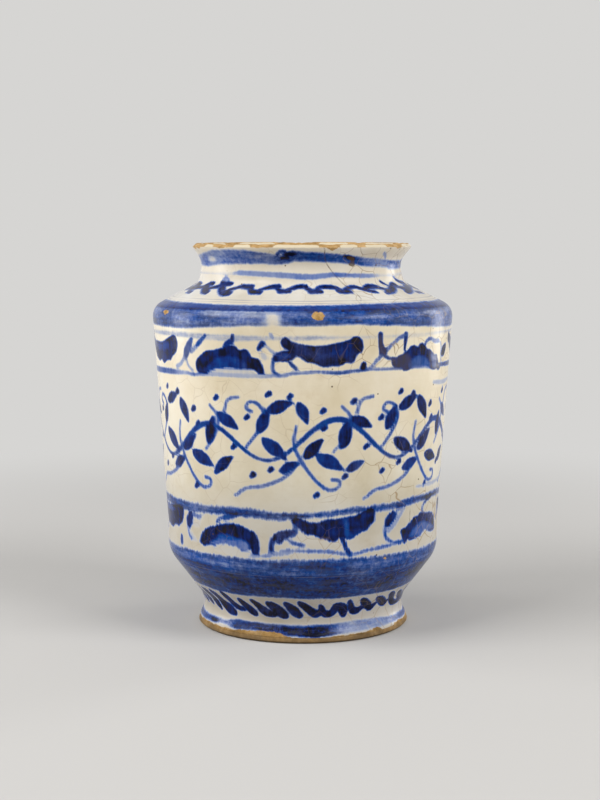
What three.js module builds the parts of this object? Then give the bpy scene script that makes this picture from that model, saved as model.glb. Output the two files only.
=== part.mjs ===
// A tin-glazed drug jar: a thrown earthenware body under two coats of fired white glaze.
// Millimetres, +Z up. The origin is on the axis, on the surface that the foot stands on.
import * as THREE from 'three';

// The whole jar, from the standing surface to the top of the lip.
const jarHeight = 180;

// Radii of the clay's outer side, from the axis.
const footRadius = 48.9;
const toeRadius = 50.2;
const waistRadius = 46;
const hipRadius = 48.4;
const bellyRadius = 63.6;
const wallRadius = 63.8;
const shoulderRadius = 70.2;
const neckBaseRadius = 47.5;
const neckRadius = 45.7;
const lipRadius = 51.1;

// Heights of the clay's outer side, each one counted from the stage below it. The long wall
// between the belly and the shoulder takes what these leave of the jar's height.
const toeRise = 0.9;
const bareFootRise = 2.9;
const waistRise = 4.9;
const hipRise = 6.9;
const bellyRise = 20.2;
const wallRise = 15.5;
const shoulderRise = 11.6;
const neckLength = 10.2;
const lipRise = 6.7;
const lipCrown = 1.4;

// Fillets of the same side.
const waistFillet = 7.4;
const hipFillet = 6.3;
const bellyFillet = 14.5;
const shoulderFillet = 7.3;
const neckBaseFillet = 5.9;
const neckFillet = 10.8;

// The clay's thicknesses, the hollow under the foot and the flat top of the lip.
const wallThickness = 5.6;
const floorThickness = 7;
const floorFillet = 12;
const lipEdgeEase = 1.3;
const footRingWidth = 6.5;
const footHollowDepth = 4;
const footHollowDraft = 1.6;

// The fired glaze, thinned to an edge where it ends. It is fused to the clay: the hair's gap
// between them only keeps the two solids apart.
const outerGlazeThickness = 0.5;
const innerGlazeThickness = 0.4;
const glazeEdgeShare = 0.4;
const glazeGap = 0.05;

// Fineness of the turned surfaces.
const turnSteps = 48;
const filletSteps = 3;

// Everything above the standing surface, stacked up from the foot and down from the lip.
const toeHeight = toeRise;
const glazeLineHeight = toeHeight + bareFootRise;
const waistHeight = glazeLineHeight + waistRise;
const hipHeight = waistHeight + hipRise;
const bellyHeight = hipHeight + bellyRise;
const wallHeight = bellyHeight + wallRise;
const lipHeight = jarHeight - lipCrown;
const neckHeight = lipHeight - lipRise;
const neckBaseHeight = neckHeight - neckLength;
const shoulderHeight = neckBaseHeight - shoulderRise;
const floorHeight = footHollowDepth + floorThickness;

// A corner of an outline: its place and the fillet that rounds it.
function corner(radius, height, fillet = 0) {
  return { at: new THREE.Vector2(radius, height), fillet };
}

// The place at a given height on the straight line through two corners.
function placeAtHeight(from, to, height) {
  const share = (height - from.at.y) / (to.at.y - from.at.y);
  return new THREE.Vector2().lerpVectors(from.at, to.at, share);
}

// Joins corners with straight lines and rounds each inner corner, as far as its two sides allow.
function outline(corners) {
  const path = new THREE.Path();
  path.moveTo(corners[0].at.x, corners[0].at.y);
  for (let i = 1; i < corners.length - 1; i += 1) {
    const here = corners[i].at;
    const back = corners[i - 1].at.clone().sub(here);
    const ahead = corners[i + 1].at.clone().sub(here);
    const halfAngle = Math.acos(back.dot(ahead) / (back.length() * ahead.length())) / 2;
    const reach = Math.min(
      corners[i].fillet / Math.tan(halfAngle),
      back.length() / 2,
      ahead.length() / 2,
    );
    const start = here.clone().add(back.setLength(reach));
    const end = here.clone().add(ahead.setLength(reach));
    path.lineTo(start.x, start.y);
    if (reach > 0) path.quadraticCurveTo(here.x, here.y, end.x, end.y);
  }
  const last = corners[corners.length - 1].at;
  path.lineTo(last.x, last.y);
  return path.getPoints(filletSteps);
}

// The unit normal at each point of an open line, to the right of its run.
function normals(points) {
  return points.map((point, i) => {
    const before = points[Math.max(i - 1, 0)];
    const after = points[Math.min(i + 1, points.length - 1)];
    const run = after.clone().sub(before).normalize();
    return new THREE.Vector2(run.y, -run.x);
  });
}

// Moves a chain of corners sideways by one distance, so that a wall keeps its thickness.
function inset(corners, distance) {
  return corners.map((here, i) => {
    const before = corners[Math.max(i - 1, 0)].at;
    const after = corners[Math.min(i + 1, corners.length - 1)].at;
    const runs = [];
    if (i > 0) runs.push(here.at.clone().sub(before).normalize());
    if (i < corners.length - 1) runs.push(after.clone().sub(here.at).normalize());
    const sides = runs.map((run) => new THREE.Vector2(-run.y, run.x));
    const mitre = sides.reduce((sum, side) => sum.clone().add(side));
    const scale = (sides.length * distance) / mitre.lengthSq();
    return { at: here.at.clone().addScaledVector(mitre, scale), fillet: here.fillet };
  });
}

// A coat on a line of clay points: its own face, and back along the clay. It thins where it ends.
function coat(points, thickness) {
  const sides = normals(points);
  const raised = (depth) => (point, i) => point.clone().addScaledVector(sides[i], depth(point, i));
  const isEdge = (point, i) => point.x > 0 && (i === 0 || i === points.length - 1);
  const face = points.map(raised((point, i) => thickness * (isEdge(point, i) ? glazeEdgeShare : 1)));
  const back = points.map(raised(() => glazeGap)).reverse();
  return [...face, ...back, face[0].clone()];
}

// Turns an outline about the vertical axis.
function turned(name, points, material) {
  const geometry = new THREE.LatheGeometry(points, turnSteps);
  geometry.rotateX(Math.PI / 2);
  const mesh = new THREE.Mesh(geometry, material);
  mesh.name = name;
  return mesh;
}

// The outer side of the clay, from the glaze line above the bare foot up to the lip's edge.
const toe = corner(toeRadius, toeHeight);
const waist = corner(waistRadius, waistHeight, waistFillet);
const glazeLine = { at: placeAtHeight(toe, waist, glazeLineHeight), fillet: 0 };
const hip = corner(hipRadius, hipHeight, hipFillet);
const belly = corner(bellyRadius, bellyHeight, bellyFillet);
const wallFoot = corner(wallRadius, wallHeight);
const shoulder = corner(shoulderRadius, shoulderHeight, shoulderFillet);
const neckBase = corner(neckBaseRadius, neckBaseHeight, neckBaseFillet);
const neck = corner(neckRadius, neckHeight, neckFillet);
const lip = corner(lipRadius, lipHeight);
const outerSide = outline([
  glazeLine, waist, hip, belly, wallFoot, shoulder, neckBase, neck, lip,
]);

// The inner side runs one wall's thickness inside it, and meets the floor under the belly.
const insideUp = inset([hip, belly, wallFoot, shoulder, neckBase, neck, lip], wallThickness);
const [innerHip, innerBelly, , , , , innerLip] = insideUp;
const floorEdge = { at: placeAtHeight(innerHip, innerBelly, floorHeight), fillet: floorFillet };
const floorMiddle = corner(0, floorHeight);
const lipInside = { at: new THREE.Vector2(innerLip.at.x, lipHeight), fillet: 0 };
const innerSide = outline([
  floorMiddle, floorEdge, ...insideUp.slice(1, -1), lipInside,
]).reverse();

// The bare top of the lip, eased on both edges.
const lipWidth = lipRadius - lipInside.at.x;
const lipEase = Math.min(lipEdgeEase, lipWidth / 3);
const rimTop = [
  new THREE.Vector2(lipRadius - lipEase, jarHeight),
  new THREE.Vector2(lipInside.at.x + lipEase, jarHeight),
];

// The bare foot: its side, the ring that it stands on and the hollow turned under it.
const ringInnerRadius = footRadius - footRingWidth;
const underside = [
  new THREE.Vector2(0, footHollowDepth),
  new THREE.Vector2(ringInnerRadius - footHollowDraft, footHollowDepth),
  new THREE.Vector2(ringInnerRadius, 0),
  new THREE.Vector2(footRadius, 0),
  toe.at,
];

const clay = new THREE.MeshStandardMaterial({ color: 0xb09a72, roughness: 0.9, metalness: 0 });
const outerGlaze = new THREE.MeshStandardMaterial({ color: 0xe0d5bd, roughness: 0.25, metalness: 0 });
const innerGlaze = new THREE.MeshStandardMaterial({ color: 0xddd2bb, roughness: 0.3, metalness: 0 });

const bodyOutline = [...underside, ...outerSide, ...rimTop, ...innerSide];

const jar = new THREE.Group();
jar.add(turned('earthenware_body', bodyOutline, clay));
jar.add(turned('outer_glaze', coat(outerSide, outerGlazeThickness), outerGlaze));
jar.add(turned('inner_glaze', coat(innerSide, innerGlazeThickness), innerGlaze));

export default jar;
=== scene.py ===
import math

import bpy
import numpy as np
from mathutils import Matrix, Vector


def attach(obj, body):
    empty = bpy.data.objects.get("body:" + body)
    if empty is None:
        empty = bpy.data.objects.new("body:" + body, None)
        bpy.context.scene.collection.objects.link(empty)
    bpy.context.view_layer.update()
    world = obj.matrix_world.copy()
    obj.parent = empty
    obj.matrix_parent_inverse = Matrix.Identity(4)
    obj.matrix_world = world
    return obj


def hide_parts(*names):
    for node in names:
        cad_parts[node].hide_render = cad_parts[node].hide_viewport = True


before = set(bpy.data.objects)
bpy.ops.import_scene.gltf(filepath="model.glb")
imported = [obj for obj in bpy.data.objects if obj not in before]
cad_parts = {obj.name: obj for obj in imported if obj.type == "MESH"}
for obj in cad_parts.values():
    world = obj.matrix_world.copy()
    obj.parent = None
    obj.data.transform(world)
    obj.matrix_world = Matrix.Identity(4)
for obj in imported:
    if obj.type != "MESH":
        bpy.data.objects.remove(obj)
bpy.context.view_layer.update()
print("frame loaded")

mm = 0.001


# Shared helpers

def hexColour(text):
    # sRGB hex to the linear values that shaders take
    parts = [int(text[i:i + 2], 16) / 255 for i in (1, 3, 5)]
    linear = [c / 12.92 if c <= 0.04045 else ((c + 0.055) / 1.055) ** 2.4 for c in parts]
    return (*linear, 1.0)


def addNode(tree, kind, settings=None, links=None):
    # links: an input's name or number, and the value or the output that goes into it
    node = tree.nodes.new(kind)
    for key, value in (settings or {}).items():
        setattr(node, key, value)
    for key, value in (links or {}).items():
        if isinstance(value, bpy.types.NodeSocket):
            tree.links.new(value, node.inputs[key])
        else:
            node.inputs[key].default_value = value
    return node


def smoothCurve(points, steps, closed=False):
    # a rounded line through the given points, each a row of numbers
    points = np.array(points, dtype=float)
    if closed:
        padded = np.vstack([points[-1], points, points[0], points[1]])
    else:
        padded = np.vstack([2 * points[0] - points[1], points, 2 * points[-1] - points[-2]])
    shares = np.linspace(0, 1, steps, endpoint=False)[:, None]
    pieces = []
    for a, b, c, d in zip(padded, padded[1:], padded[2:], padded[3:]):
        pieces.append(0.5 * (2 * b + (c - a) * shares + (2 * a - 5 * b + 4 * c - d) * shares ** 2
                             + (3 * b - a - 3 * c + d) * shares ** 3))
    if not closed:
        pieces.append(points[-1:])
    return np.vstack(pieces)


# Camera, floor and light

cameraSetup = {
    "lens": 72.3,             # mm, on the photograph's long side
    "distance": 0.7602,       # from the jar's axis
    "height": 0.18841,
    "sideways": -0.00104,
    "lookDown": 6.214,        # degrees
}
camera = bpy.data.objects.new("camera", bpy.data.cameras.new("camera"))
camera.data.sensor_width = 36
camera.data.lens = cameraSetup["lens"]
camera.data.clip_start = 0.01
camera.location = (cameraSetup["sideways"], -cameraSetup["distance"], cameraSetup["height"])
camera.rotation_euler = (math.radians(90 - cameraSetup["lookDown"]), 0, 0)
bpy.context.scene.collection.objects.link(camera)
bpy.context.scene.camera = camera
bpy.context.scene.view_settings.view_transform = "Standard"

studio = {
    "floor": "#c4c2bf",
    "floorSize": 8,           # metres
    "floorRoughness": 0.75,
    "background": "#d6d5d3",
    "sky": 0.28,              # strength of the light from all round
    "aim": (0, 0, 0.09),      # what the lamps point at
    "fadeFrom": 0.22,         # metres from the jar, where the floor starts to run into the background
    "fadeTo": 0.62,
    # name: angle round the jar, height, distance, width, height, watts (0 degrees is the front)
    "panels": {
        "panelLeft": (-101, 0.24, 0.90, 0.34, 0.80, 3.9),
        "panelRight": (122, 0.24, 0.90, 0.26, 0.76, 3.2),
        "panelKey": (-60, 0.95, 1.05, 0.90, 0.50, 12.2),
        "panelSide": (56, 0.85, 1.10, 0.70, 0.50, 11.0),
    },
}


def addPanel(name, angle, height, distance, width, tall, watts):
    lamp = bpy.data.lights.new(name, "AREA")
    lamp.shape = "RECTANGLE"
    lamp.size = width
    lamp.size_y = tall
    lamp.energy = watts
    panel = bpy.data.objects.new(name, lamp)
    turn = math.radians(angle)
    panel.location = (distance * math.sin(turn), -distance * math.cos(turn), height)
    aim = Vector(studio["aim"]) - panel.location
    panel.rotation_euler = aim.to_track_quat("-Z", "Y").to_euler()
    bpy.context.scene.collection.objects.link(panel)


for panelName, panelSize in studio["panels"].items():
    addPanel(panelName, *panelSize)


def seenDirectly(tree):
    # 1 for what the camera sees, also by reflection or through glass, and 0 for light on the object
    rays = addNode(tree, "ShaderNodeLightPath")
    mirrored = addNode(tree, "ShaderNodeMath", {"operation": "MAXIMUM"}, {
        0: rays.outputs["Is Camera Ray"], 1: rays.outputs["Is Glossy Ray"]})
    return addNode(tree, "ShaderNodeMath", {"operation": "MAXIMUM"}, {
        0: mirrored.outputs[0], 1: rays.outputs["Is Transmission Ray"]}).outputs[0]


world = bpy.data.worlds.new("studioWorld")
world.use_nodes = True
bpy.context.scene.world = world
worldTree = world.node_tree
worldTree.nodes.clear()
sky = addNode(worldTree, "ShaderNodeBackground", {}, {
    "Color": (1, 1, 1, 1), "Strength": studio["sky"]})
backdrop = addNode(worldTree, "ShaderNodeBackground", {}, {
    "Color": hexColour(studio["background"]), "Strength": 1.0})
seen = addNode(worldTree, "ShaderNodeMixShader", {}, {
    0: seenDirectly(worldTree), 1: sky.outputs[0], 2: backdrop.outputs[0]})
addNode(worldTree, "ShaderNodeOutputWorld", {}, {"Surface": seen.outputs[0]})

bpy.ops.object.select_all(action="DESELECT")
bpy.ops.mesh.primitive_plane_add(size=studio["floorSize"], location=(0, 0, 0))
floor = bpy.context.object
floor.name = "floor"
floorMaterial = bpy.data.materials.new("paintedTable")
floorMaterial.use_nodes = True
floorShader = floorMaterial.node_tree.nodes["Principled BSDF"]
floorShader.inputs["Base Color"].default_value = hexColour(studio["floor"])
floorShader.inputs["Roughness"].default_value = studio["floorRoughness"]
# no sheen, which would mirror a lamp as a bright patch
floorShader.inputs["Specular IOR Level"].default_value = 0.0
# far from the jar the camera sees the background's colour in place of the floor, so there is no horizon
floorTree = floorMaterial.node_tree
floorSpace = addNode(floorTree, "ShaderNodeTexCoord").outputs["Object"]
floorReach = addNode(floorTree, "ShaderNodeVectorMath", {"operation": "LENGTH"}, {0: floorSpace})
floorFade = addNode(floorTree, "ShaderNodeMapRange", {"interpolation_type": "SMOOTHSTEP"}, {
    "Value": floorReach.outputs["Value"], "From Min": studio["fadeFrom"], "From Max": studio["fadeTo"]})
floorBlend = addNode(floorTree, "ShaderNodeMath", {"operation": "MULTIPLY"}, {
    0: floorFade.outputs[0], 1: seenDirectly(floorTree)})
floorGlow = addNode(floorTree, "ShaderNodeEmission", {}, {
    "Color": hexColour(studio["background"]), "Strength": 1.0})
floorMix = addNode(floorTree, "ShaderNodeMixShader", {}, {
    0: floorBlend.outputs[0], 1: floorShader.outputs[0], 2: floorGlow.outputs[0]})
floorTree.links.new(floorMix.outputs[0], floorTree.nodes["Material Output"].inputs["Surface"])
floor.data.materials.append(floorMaterial)
print("camera, floor and light ready")


# The jar's outline in mm. Each corner is radius, height and fillet, of the clay: each glaze lies on it.

jar = {
    "underside": [(0, 4, 0), (40.8, 4, 0.9), (42.4, 0, 0.6), (48.9, 0, 0.6), (50.2, 0.9, 0.6)],
    "glazeLine": (49.285, 2.6, 0),
    "outer": [(46, 8.7, 7.4), (48.4, 15.6, 6.3), (63.6, 35.8, 14.5), (63.8, 51.3, 0), (70.2, 150.1, 7.3),
              (47.5, 161.7, 5.9), (45.7, 171.9, 10.8)],
    "lip": (51.1, 178.6, 0),
    "rim": 180,
    "lipEase": 1.3,
    "lipFillet": 1.2,
    "wall": 5.6,
    "floor": 11,
    "floorFillet": 12,
    "outerGlaze": 0.5,
    "innerGlaze": 0.4,
    "glazeGap": 0.05,         # between a glaze's back and the clay
    "glazeEdge": 0.2,         # thickness where a glaze ends
    "lossDepth": 0.30,        # how far lost glaze is sunk
    "lipKnock": 0.55,         # the deepest knock in the lip
    "outOfRound": (0.20, 0.10),    # oval and three-sided
    # heights, and how far the thrown shape has drifted sideways there
    "lean": ([0, 10, 50, 150, 160, 167, 172, 178.6, 180],
             [0.45, 0.42, 0.28, 0.12, -0.25, -0.72, -0.6, -0.12, -0.1]),
    "columns": 400,           # vertices round the outer glaze; the other pieces have half as many
    "rowStep": 0.92,          # from row to row on the outer glaze
    "liningStep": 1.5,
    "footStep": 0.9,
    "lipStep": 0.45,
    "smoothAngle": 50,        # degrees up to which neighbouring faces are shaded as one
}


def lengthsAlong(line):
    # the length of the line up to each of its points
    return np.concatenate([[0], np.cumsum(np.linalg.norm(np.diff(line, axis=0), axis=1))])


def filletLine(corners, count):
    # straight sides with rounded corners, with this many points in each fillet and none between
    at = [np.array(corner[:2], dtype=float) for corner in corners]
    line = [at[0]]
    for before, here, after, corner in zip(at, at[1:], at[2:], corners[1:]):
        back, ahead = before - here, after - here
        backLength, aheadLength = np.linalg.norm(back), np.linalg.norm(ahead)
        half = math.acos(back.dot(ahead) / (backLength * aheadLength)) / 2
        reach = min(corner[2] / math.tan(half), backLength / 2, aheadLength / 2)
        start, end = here + back / backLength * reach, here + ahead / aheadLength * reach
        for t in np.linspace(0, 1, count) if reach > 0 else [0.5]:
            line.append((1 - t) ** 2 * start + 2 * t * (1 - t) * here + t ** 2 * end)
    line.append(at[-1])
    return np.array(line)


def roundedLine(corners, step):
    # the same line in even steps of about the given length
    line = filletLine(corners, 25)
    lengths = lengthsAlong(line)
    count = max(2, int(round(lengths[-1] / step)) + 1)
    even = np.linspace(0, lengths[-1], count)
    return np.column_stack([np.interp(even, lengths, line[:, i]) for i in (0, 1)])


def inset(corners, distance):
    # the same corners moved inwards by the wall's thickness
    at = [np.array(corner[:2], dtype=float) for corner in corners]
    moved = []
    for i, here in enumerate(at):
        runs = []
        if i > 0:
            runs.append(here - at[i - 1])
        if i < len(at) - 1:
            runs.append(at[i + 1] - here)
        sides = [np.array((-run[1], run[0])) / np.linalg.norm(run) for run in runs]
        mitre = sum(sides)
        place = here + mitre * len(sides) * distance / mitre.dot(mitre)
        moved.append((place[0], place[1], corners[i][2]))
    return moved


def lineNormals(line):
    # unit normals to the right of the line's run
    runs = np.gradient(line, axis=0)
    runs /= np.linalg.norm(runs, axis=1)[:, None]
    return np.column_stack([runs[:, 1], -runs[:, 0]])


def glazeSection(line, coarse, thickness):
    # the glaze's own face and its back on the clay, as one closed section
    face = line + lineNormals(line) * thickness
    for end in (0, -1):
        if line[end][0] > 0.01:
            face[end] = line[end] + lineNormals(line)[end] * jar["glazeEdge"]
    back = coarse + lineNormals(coarse) * jar["glazeGap"]
    return np.vstack([face, back[::-1], face[:1]]), len(face)


# the inside follows the outside at the wall's thickness, down to a flat floor with a rounded edge
outerCorners = [jar["glazeLine"], *jar["outer"], jar["lip"]]
innerCorners = inset([*jar["outer"][1:], jar["lip"]], jar["wall"])
innerHip, innerBelly = innerCorners[0], innerCorners[1]
floorShare = (jar["floor"] - innerHip[1]) / (innerBelly[1] - innerHip[1])
floorEdge = (innerHip[0] + floorShare * (innerBelly[0] - innerHip[0]), jar["floor"], jar["floorFillet"])
lipInside = (innerCorners[-1][0], jar["lip"][1], 0)
liningCorners = [(0, jar["floor"], 0), floorEdge, *innerCorners[1:-1], lipInside]


def spinSection(name, section, columns):
    # one vertex is drawn out along the section, and the section is spun round the axis
    bpy.ops.object.select_all(action="DESELECT")
    bpy.ops.mesh.primitive_plane_add(size=mm, location=(0, 0, 0))
    piece = bpy.context.object
    piece.name = name
    piece.data.name = name
    bpy.ops.object.mode_set(mode="EDIT")
    bpy.ops.mesh.select_all(action="SELECT")
    bpy.ops.mesh.merge(type="CENTER")
    start = section[0]
    bpy.ops.transform.translate(value=(start[0] * mm, 0, start[1] * mm))
    for here, ahead in zip(section, section[1:]):
        move = (ahead - here) * mm
        bpy.ops.mesh.extrude_vertices_move(TRANSFORM_OT_translate={"value": (move[0], 0, move[1])})
    bpy.ops.mesh.select_all(action="SELECT")
    bpy.ops.mesh.spin(steps=columns, angle=2 * math.pi, center=(0, 0, 0), axis=(0, 0, 1))
    bpy.ops.mesh.select_all(action="SELECT")
    bpy.ops.mesh.remove_doubles(threshold=0.00001)
    bpy.ops.mesh.normals_make_consistent(inside=False)
    bpy.ops.object.mode_set(mode="OBJECT")
    return piece


def places(piece):
    # every vertex in mm
    spots = np.empty(len(piece.data.vertices) * 3)
    piece.data.vertices.foreach_get("co", spots)
    return spots.reshape(-1, 3) / mm


def setPlaces(piece, spots):
    piece.data.vertices.foreach_set("co", (spots * mm).ravel())
    piece.data.update()


def nearestRows(spots, section):
    # which point of the section each vertex came from, worked out for some vertices at a time
    radius = np.hypot(spots[:, 0], spots[:, 1])
    rows = np.empty(len(spots), dtype=int)
    share = 20000
    for start in range(0, len(spots), share):
        part = slice(start, start + share)
        aside = radius[part, None] - section[None, :, 0]
        above = spots[part, 2, None] - section[None, :, 1]
        rows[part] = np.argmin(aside ** 2 + above ** 2, axis=1)
    return rows


def keepAttribute(piece, name, values):
    # one number for each vertex, which a material reads by its name
    layer = piece.data.attributes.new(name, "FLOAT", "POINT")
    layer.data.foreach_set("value", np.asarray(values, dtype=np.float32))


def smoothShade(piece):
    bpy.ops.object.select_all(action="DESELECT")
    piece.select_set(True)
    bpy.context.view_layer.objects.active = piece
    bpy.ops.object.shade_smooth_by_angle(angle=math.radians(jar["smoothAngle"]))


def wobble(spots):
    # the small lean and unevenness of a jar thrown by hand
    turn = np.arctan2(spots[:, 0], -spots[:, 1])
    rise = spots[:, 2] / jar["rim"]
    # an oval and a three-sided wave that twist as they climb
    oval, threeSided = jar["outOfRound"]
    swell = oval * np.cos(2 * turn + 0.6 + 2.2 * rise) + threeSided * np.cos(3 * turn - 1.1 + 3 * rise)
    # it fades out towards the foot and the axis
    radius = np.maximum(np.hypot(spots[:, 0], spots[:, 1]), 0.001)
    fade = np.sin(math.pi * np.clip(rise, 0.03, 1) * 0.8) * np.clip(radius / 45, 0, 1)
    grown = 1 + swell * fade / radius
    lean = np.interp(spots[:, 2], *jar["lean"])
    moved = spots.copy()
    moved[:, 0] = spots[:, 0] * grown + lean * np.clip(radius / 30, 0, 1)
    moved[:, 1] = spots[:, 1] * grown
    return moved


# The painted decoration. Places are degrees round the jar (0 is the front, + is to the right) and
# mm of height. A brush stroke is a row of (angle, height, brush width in mm).

paint = {
    "seed": 11,
    "softEdge": 0.9,          # mm over which two strokes of different strength run together
    "mmPerDegree": 1.17,      # on the wall
    "unpainted": -6.0,        # mm, the depth that stands for far outside the paint
    "leastWidth": 1.15,       # mm, the thinnest stroke that the vertices can hold
    # how far the repeats at the back stray from the front: a whole frieze, a motif and a point of it
    "stray": (0.7, 0.5, 0.22),
    # strengths, and what the brush widths of the chain and the rope are multiplied by
    "chain": (0.95, 1.14),
    "chainPale": 0.42,
    "chainBack": 0.92,
    "rope": (0.97, 1.28),
    "ropeBack": (0.94, 1.25),
    "wiped": 0.14,
    "glazeTop": 178.9,        # mm, where the glaze ends at the lip
}


def segmentGap(across, up, start, end):
    # how far along the segment each vertex lies, 0 to 1, and how far from it
    run = end - start
    share = ((across - start[0]) * run[0] + (up - start[1]) * run[1]) / max(run.dot(run), 1e-9)
    share = np.clip(share, 0, 1)
    return share, np.hypot(across - start[0] - share * run[0], up - start[1] - share * run[1])


def shifted(line, turn, lift, stretch=1, width=1):
    # the same brush line elsewhere on the jar, stretched round it and with its widths multiplied
    return [(turn + t * stretch, lift + z, w * width) for t, z, w in line]


class Coat:
    # one strength of colour: how far each vertex is inside the paint (mm) and how strong it is there
    def __init__(self, turns, heights, radii, leastWidth=paint["leastWidth"]):
        self.turns = turns
        self.heights = heights
        self.radii = radii
        self.leastWidth = leastWidth
        self.depth = np.full(len(turns), paint["unpainted"])
        self.tone = np.zeros(len(turns))

    def near(self, angles, heights, margin):
        # the vertices near these places, and their angles without the jump at the back
        middle = (max(angles) + min(angles)) / 2
        reach = (max(angles) - min(angles)) / 2 + margin
        off = (self.turns - middle + 180) % 360 - 180
        inside = (np.abs(off) < reach) & (self.heights > min(heights) - margin)
        found = np.nonzero(inside & (self.heights < max(heights) + margin))[0]
        return found, off[found] + middle

    def lay(self, found, depth, tone):
        # the deeper stroke gives its strength, blended where the two are level
        share = np.clip((depth - self.depth[found]) / paint["softEdge"] + 0.5, 0, 1)
        self.tone[found] += share * (tone - self.tone[found])
        self.depth[found] = np.maximum(self.depth[found], depth)

    def stroke(self, points, tone):
        # a brush stroke, as deep as half its width along its middle line
        line = smoothCurve(points, 5) if len(points) > 2 else np.array(points, dtype=float)
        found, turns = self.near(line[:, 0], line[:, 1], 5)
        if not len(found):
            return
        scale = math.radians(1) * self.radii[found].mean()
        across, up = turns * scale, self.heights[found]
        depth = np.full(len(found), paint["unpainted"])
        for a, b in zip(line, line[1:]):
            start, end = np.array((a[0] * scale, a[1])), np.array((b[0] * scale, b[1]))
            share, gap = segmentGap(across, up, start, end)
            width = np.maximum(a[2] + share * (b[2] - a[2]), self.leastWidth)
            depth = np.maximum(depth, width / 2 - gap)
        self.lay(found, depth, tone)

    def insideDepth(self, outline):
        # the vertices near a closed outline, and how far inside it they are (mm, outside is negative)
        line = smoothCurve(outline, 4, closed=True)
        found, turns = self.near(line[:, 0], line[:, 1], 4)
        scale = math.radians(1) * (self.radii[found].mean() if len(found) else 1)
        across, up = turns * scale, self.heights[found]
        gap = np.full(len(found), 9.0)
        inside = np.zeros(len(found), dtype=bool)
        for a, b in zip(line, np.roll(line, -1, axis=0)):
            start, end = np.array((a[0] * scale, a[1])), np.array((b[0] * scale, b[1]))
            run = end - start
            gap = np.minimum(gap, segmentGap(across, up, start, end)[1])
            crossing = (start[1] > up) != (end[1] > up)
            if crossing.any():
                where = start[0] + (up - start[1]) / (run[1] if run[1] else 1e-9) * run[0]
                inside ^= crossing & (across < where)
        return found, np.where(inside, gap, -gap)

    def leaf(self, outline, tone):
        # a filled outline
        found, depth = self.insideDepth(outline)
        self.lay(found, depth, tone)

    def thin(self, outline, tone, blur=1.2):
        # wiped or more thinly loaded inside the outline
        found, depth = self.insideDepth(outline)
        share = np.clip(depth / blur + 0.5, 0, 1)
        self.tone[found] += share * (tone - self.tone[found])

    def band(self, middles, widths, tones, run=False):
        # a line right round, from rows of (angle, value); a run only changes the strength inside a band
        def along(rows):
            return np.interp(self.turns, [row[0] for row in rows], [row[1] for row in rows], period=360)
        depth = along(widths) / 2 - np.abs(self.heights - along(middles))
        if run:
            share = np.clip(depth / paint["softEdge"] + 0.5, 0, 1)
            self.tone += share * (along(tones) - self.tone)
        else:
            found = np.nonzero(depth > paint["unpainted"])[0]
            self.lay(found, depth[found], along(tones)[found])


# Leaf friezes. Each motif: kind, strength, places. Kinds are leaf, stroke and thin.

upperHanging = [
    ("leaf", 0.96, [
        (-6.6, 140.5), (-7.8, 138.5), (-7.5, 136.8), (-6.2, 135.2), (-4.6, 134.3), (-3.4, 132.8),
        (-1.5, 131.9), (0, 130.8), (1.2, 129.5), (3, 129.3), (5, 128.6), (6.5, 127.6), (9, 127.3),
        (10.6, 127.8), (12.5, 127.5), (14.5, 128.3), (16, 129), (17.8, 128.7), (18.9, 129.7),
        (19.6, 131.7), (20.4, 133), (21.5, 133.3), (22.3, 135), (22.2, 137), (21.6, 139.3), (20, 140.5),
        (18.3, 140.3), (17.2, 139.2), (14, 138.3), (10, 137.2), (6, 136.6), (2, 136.9), (-2, 137.8),
        (-4.4, 138.9), (-5.4, 140.2)]),
    ("thin", 0.91, [
        (-3.6, 137.8), (2, 136.6), (8, 136.8), (14, 138), (17.4, 137.4), (16.6, 133.6), (12, 131.6),
        (6, 131.4), (1.5, 132.6), (-2, 135)]),
    ("stroke", 1.0, [(19.5, 138.4, 2.4), (20, 136, 2.6)]),
]
upperFlick = [
    ("stroke", 0.98, [(22.3, 126.6, 3.0), (22.6, 128, 2.8)]),
    ("stroke", 0.93, [(29.1, 141, 2.4), (29.3, 137, 2.3), (30, 132.8, 2.6)]),
    ("leaf", 0.95, [(30, 137.4), (31, 135.4), (32.3, 134.2), (31.9, 132.6), (30.6, 132), (29.6, 133)]),
    ("stroke", 0.52, [(25.4, 126.2, 1.7), (27.6, 129.3, 1.7), (30.2, 132.2, 1.8)]),
    ("stroke", 0.78, [(30.8, 132, 1.4), (33, 130.4, 1.4), (36, 130, 1.3)]),
    ("stroke", 0.52, [(31.6, 133.6, 1.6), (34.8, 136.8, 1.7), (38, 139.3, 1.7), (41, 140.3, 1.8)]),
    ("stroke", 0.90, [(40.8, 140.6, 2.3), (40.7, 137.2, 1.8), (40.4, 133.4, 1.2)]),
]
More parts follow.
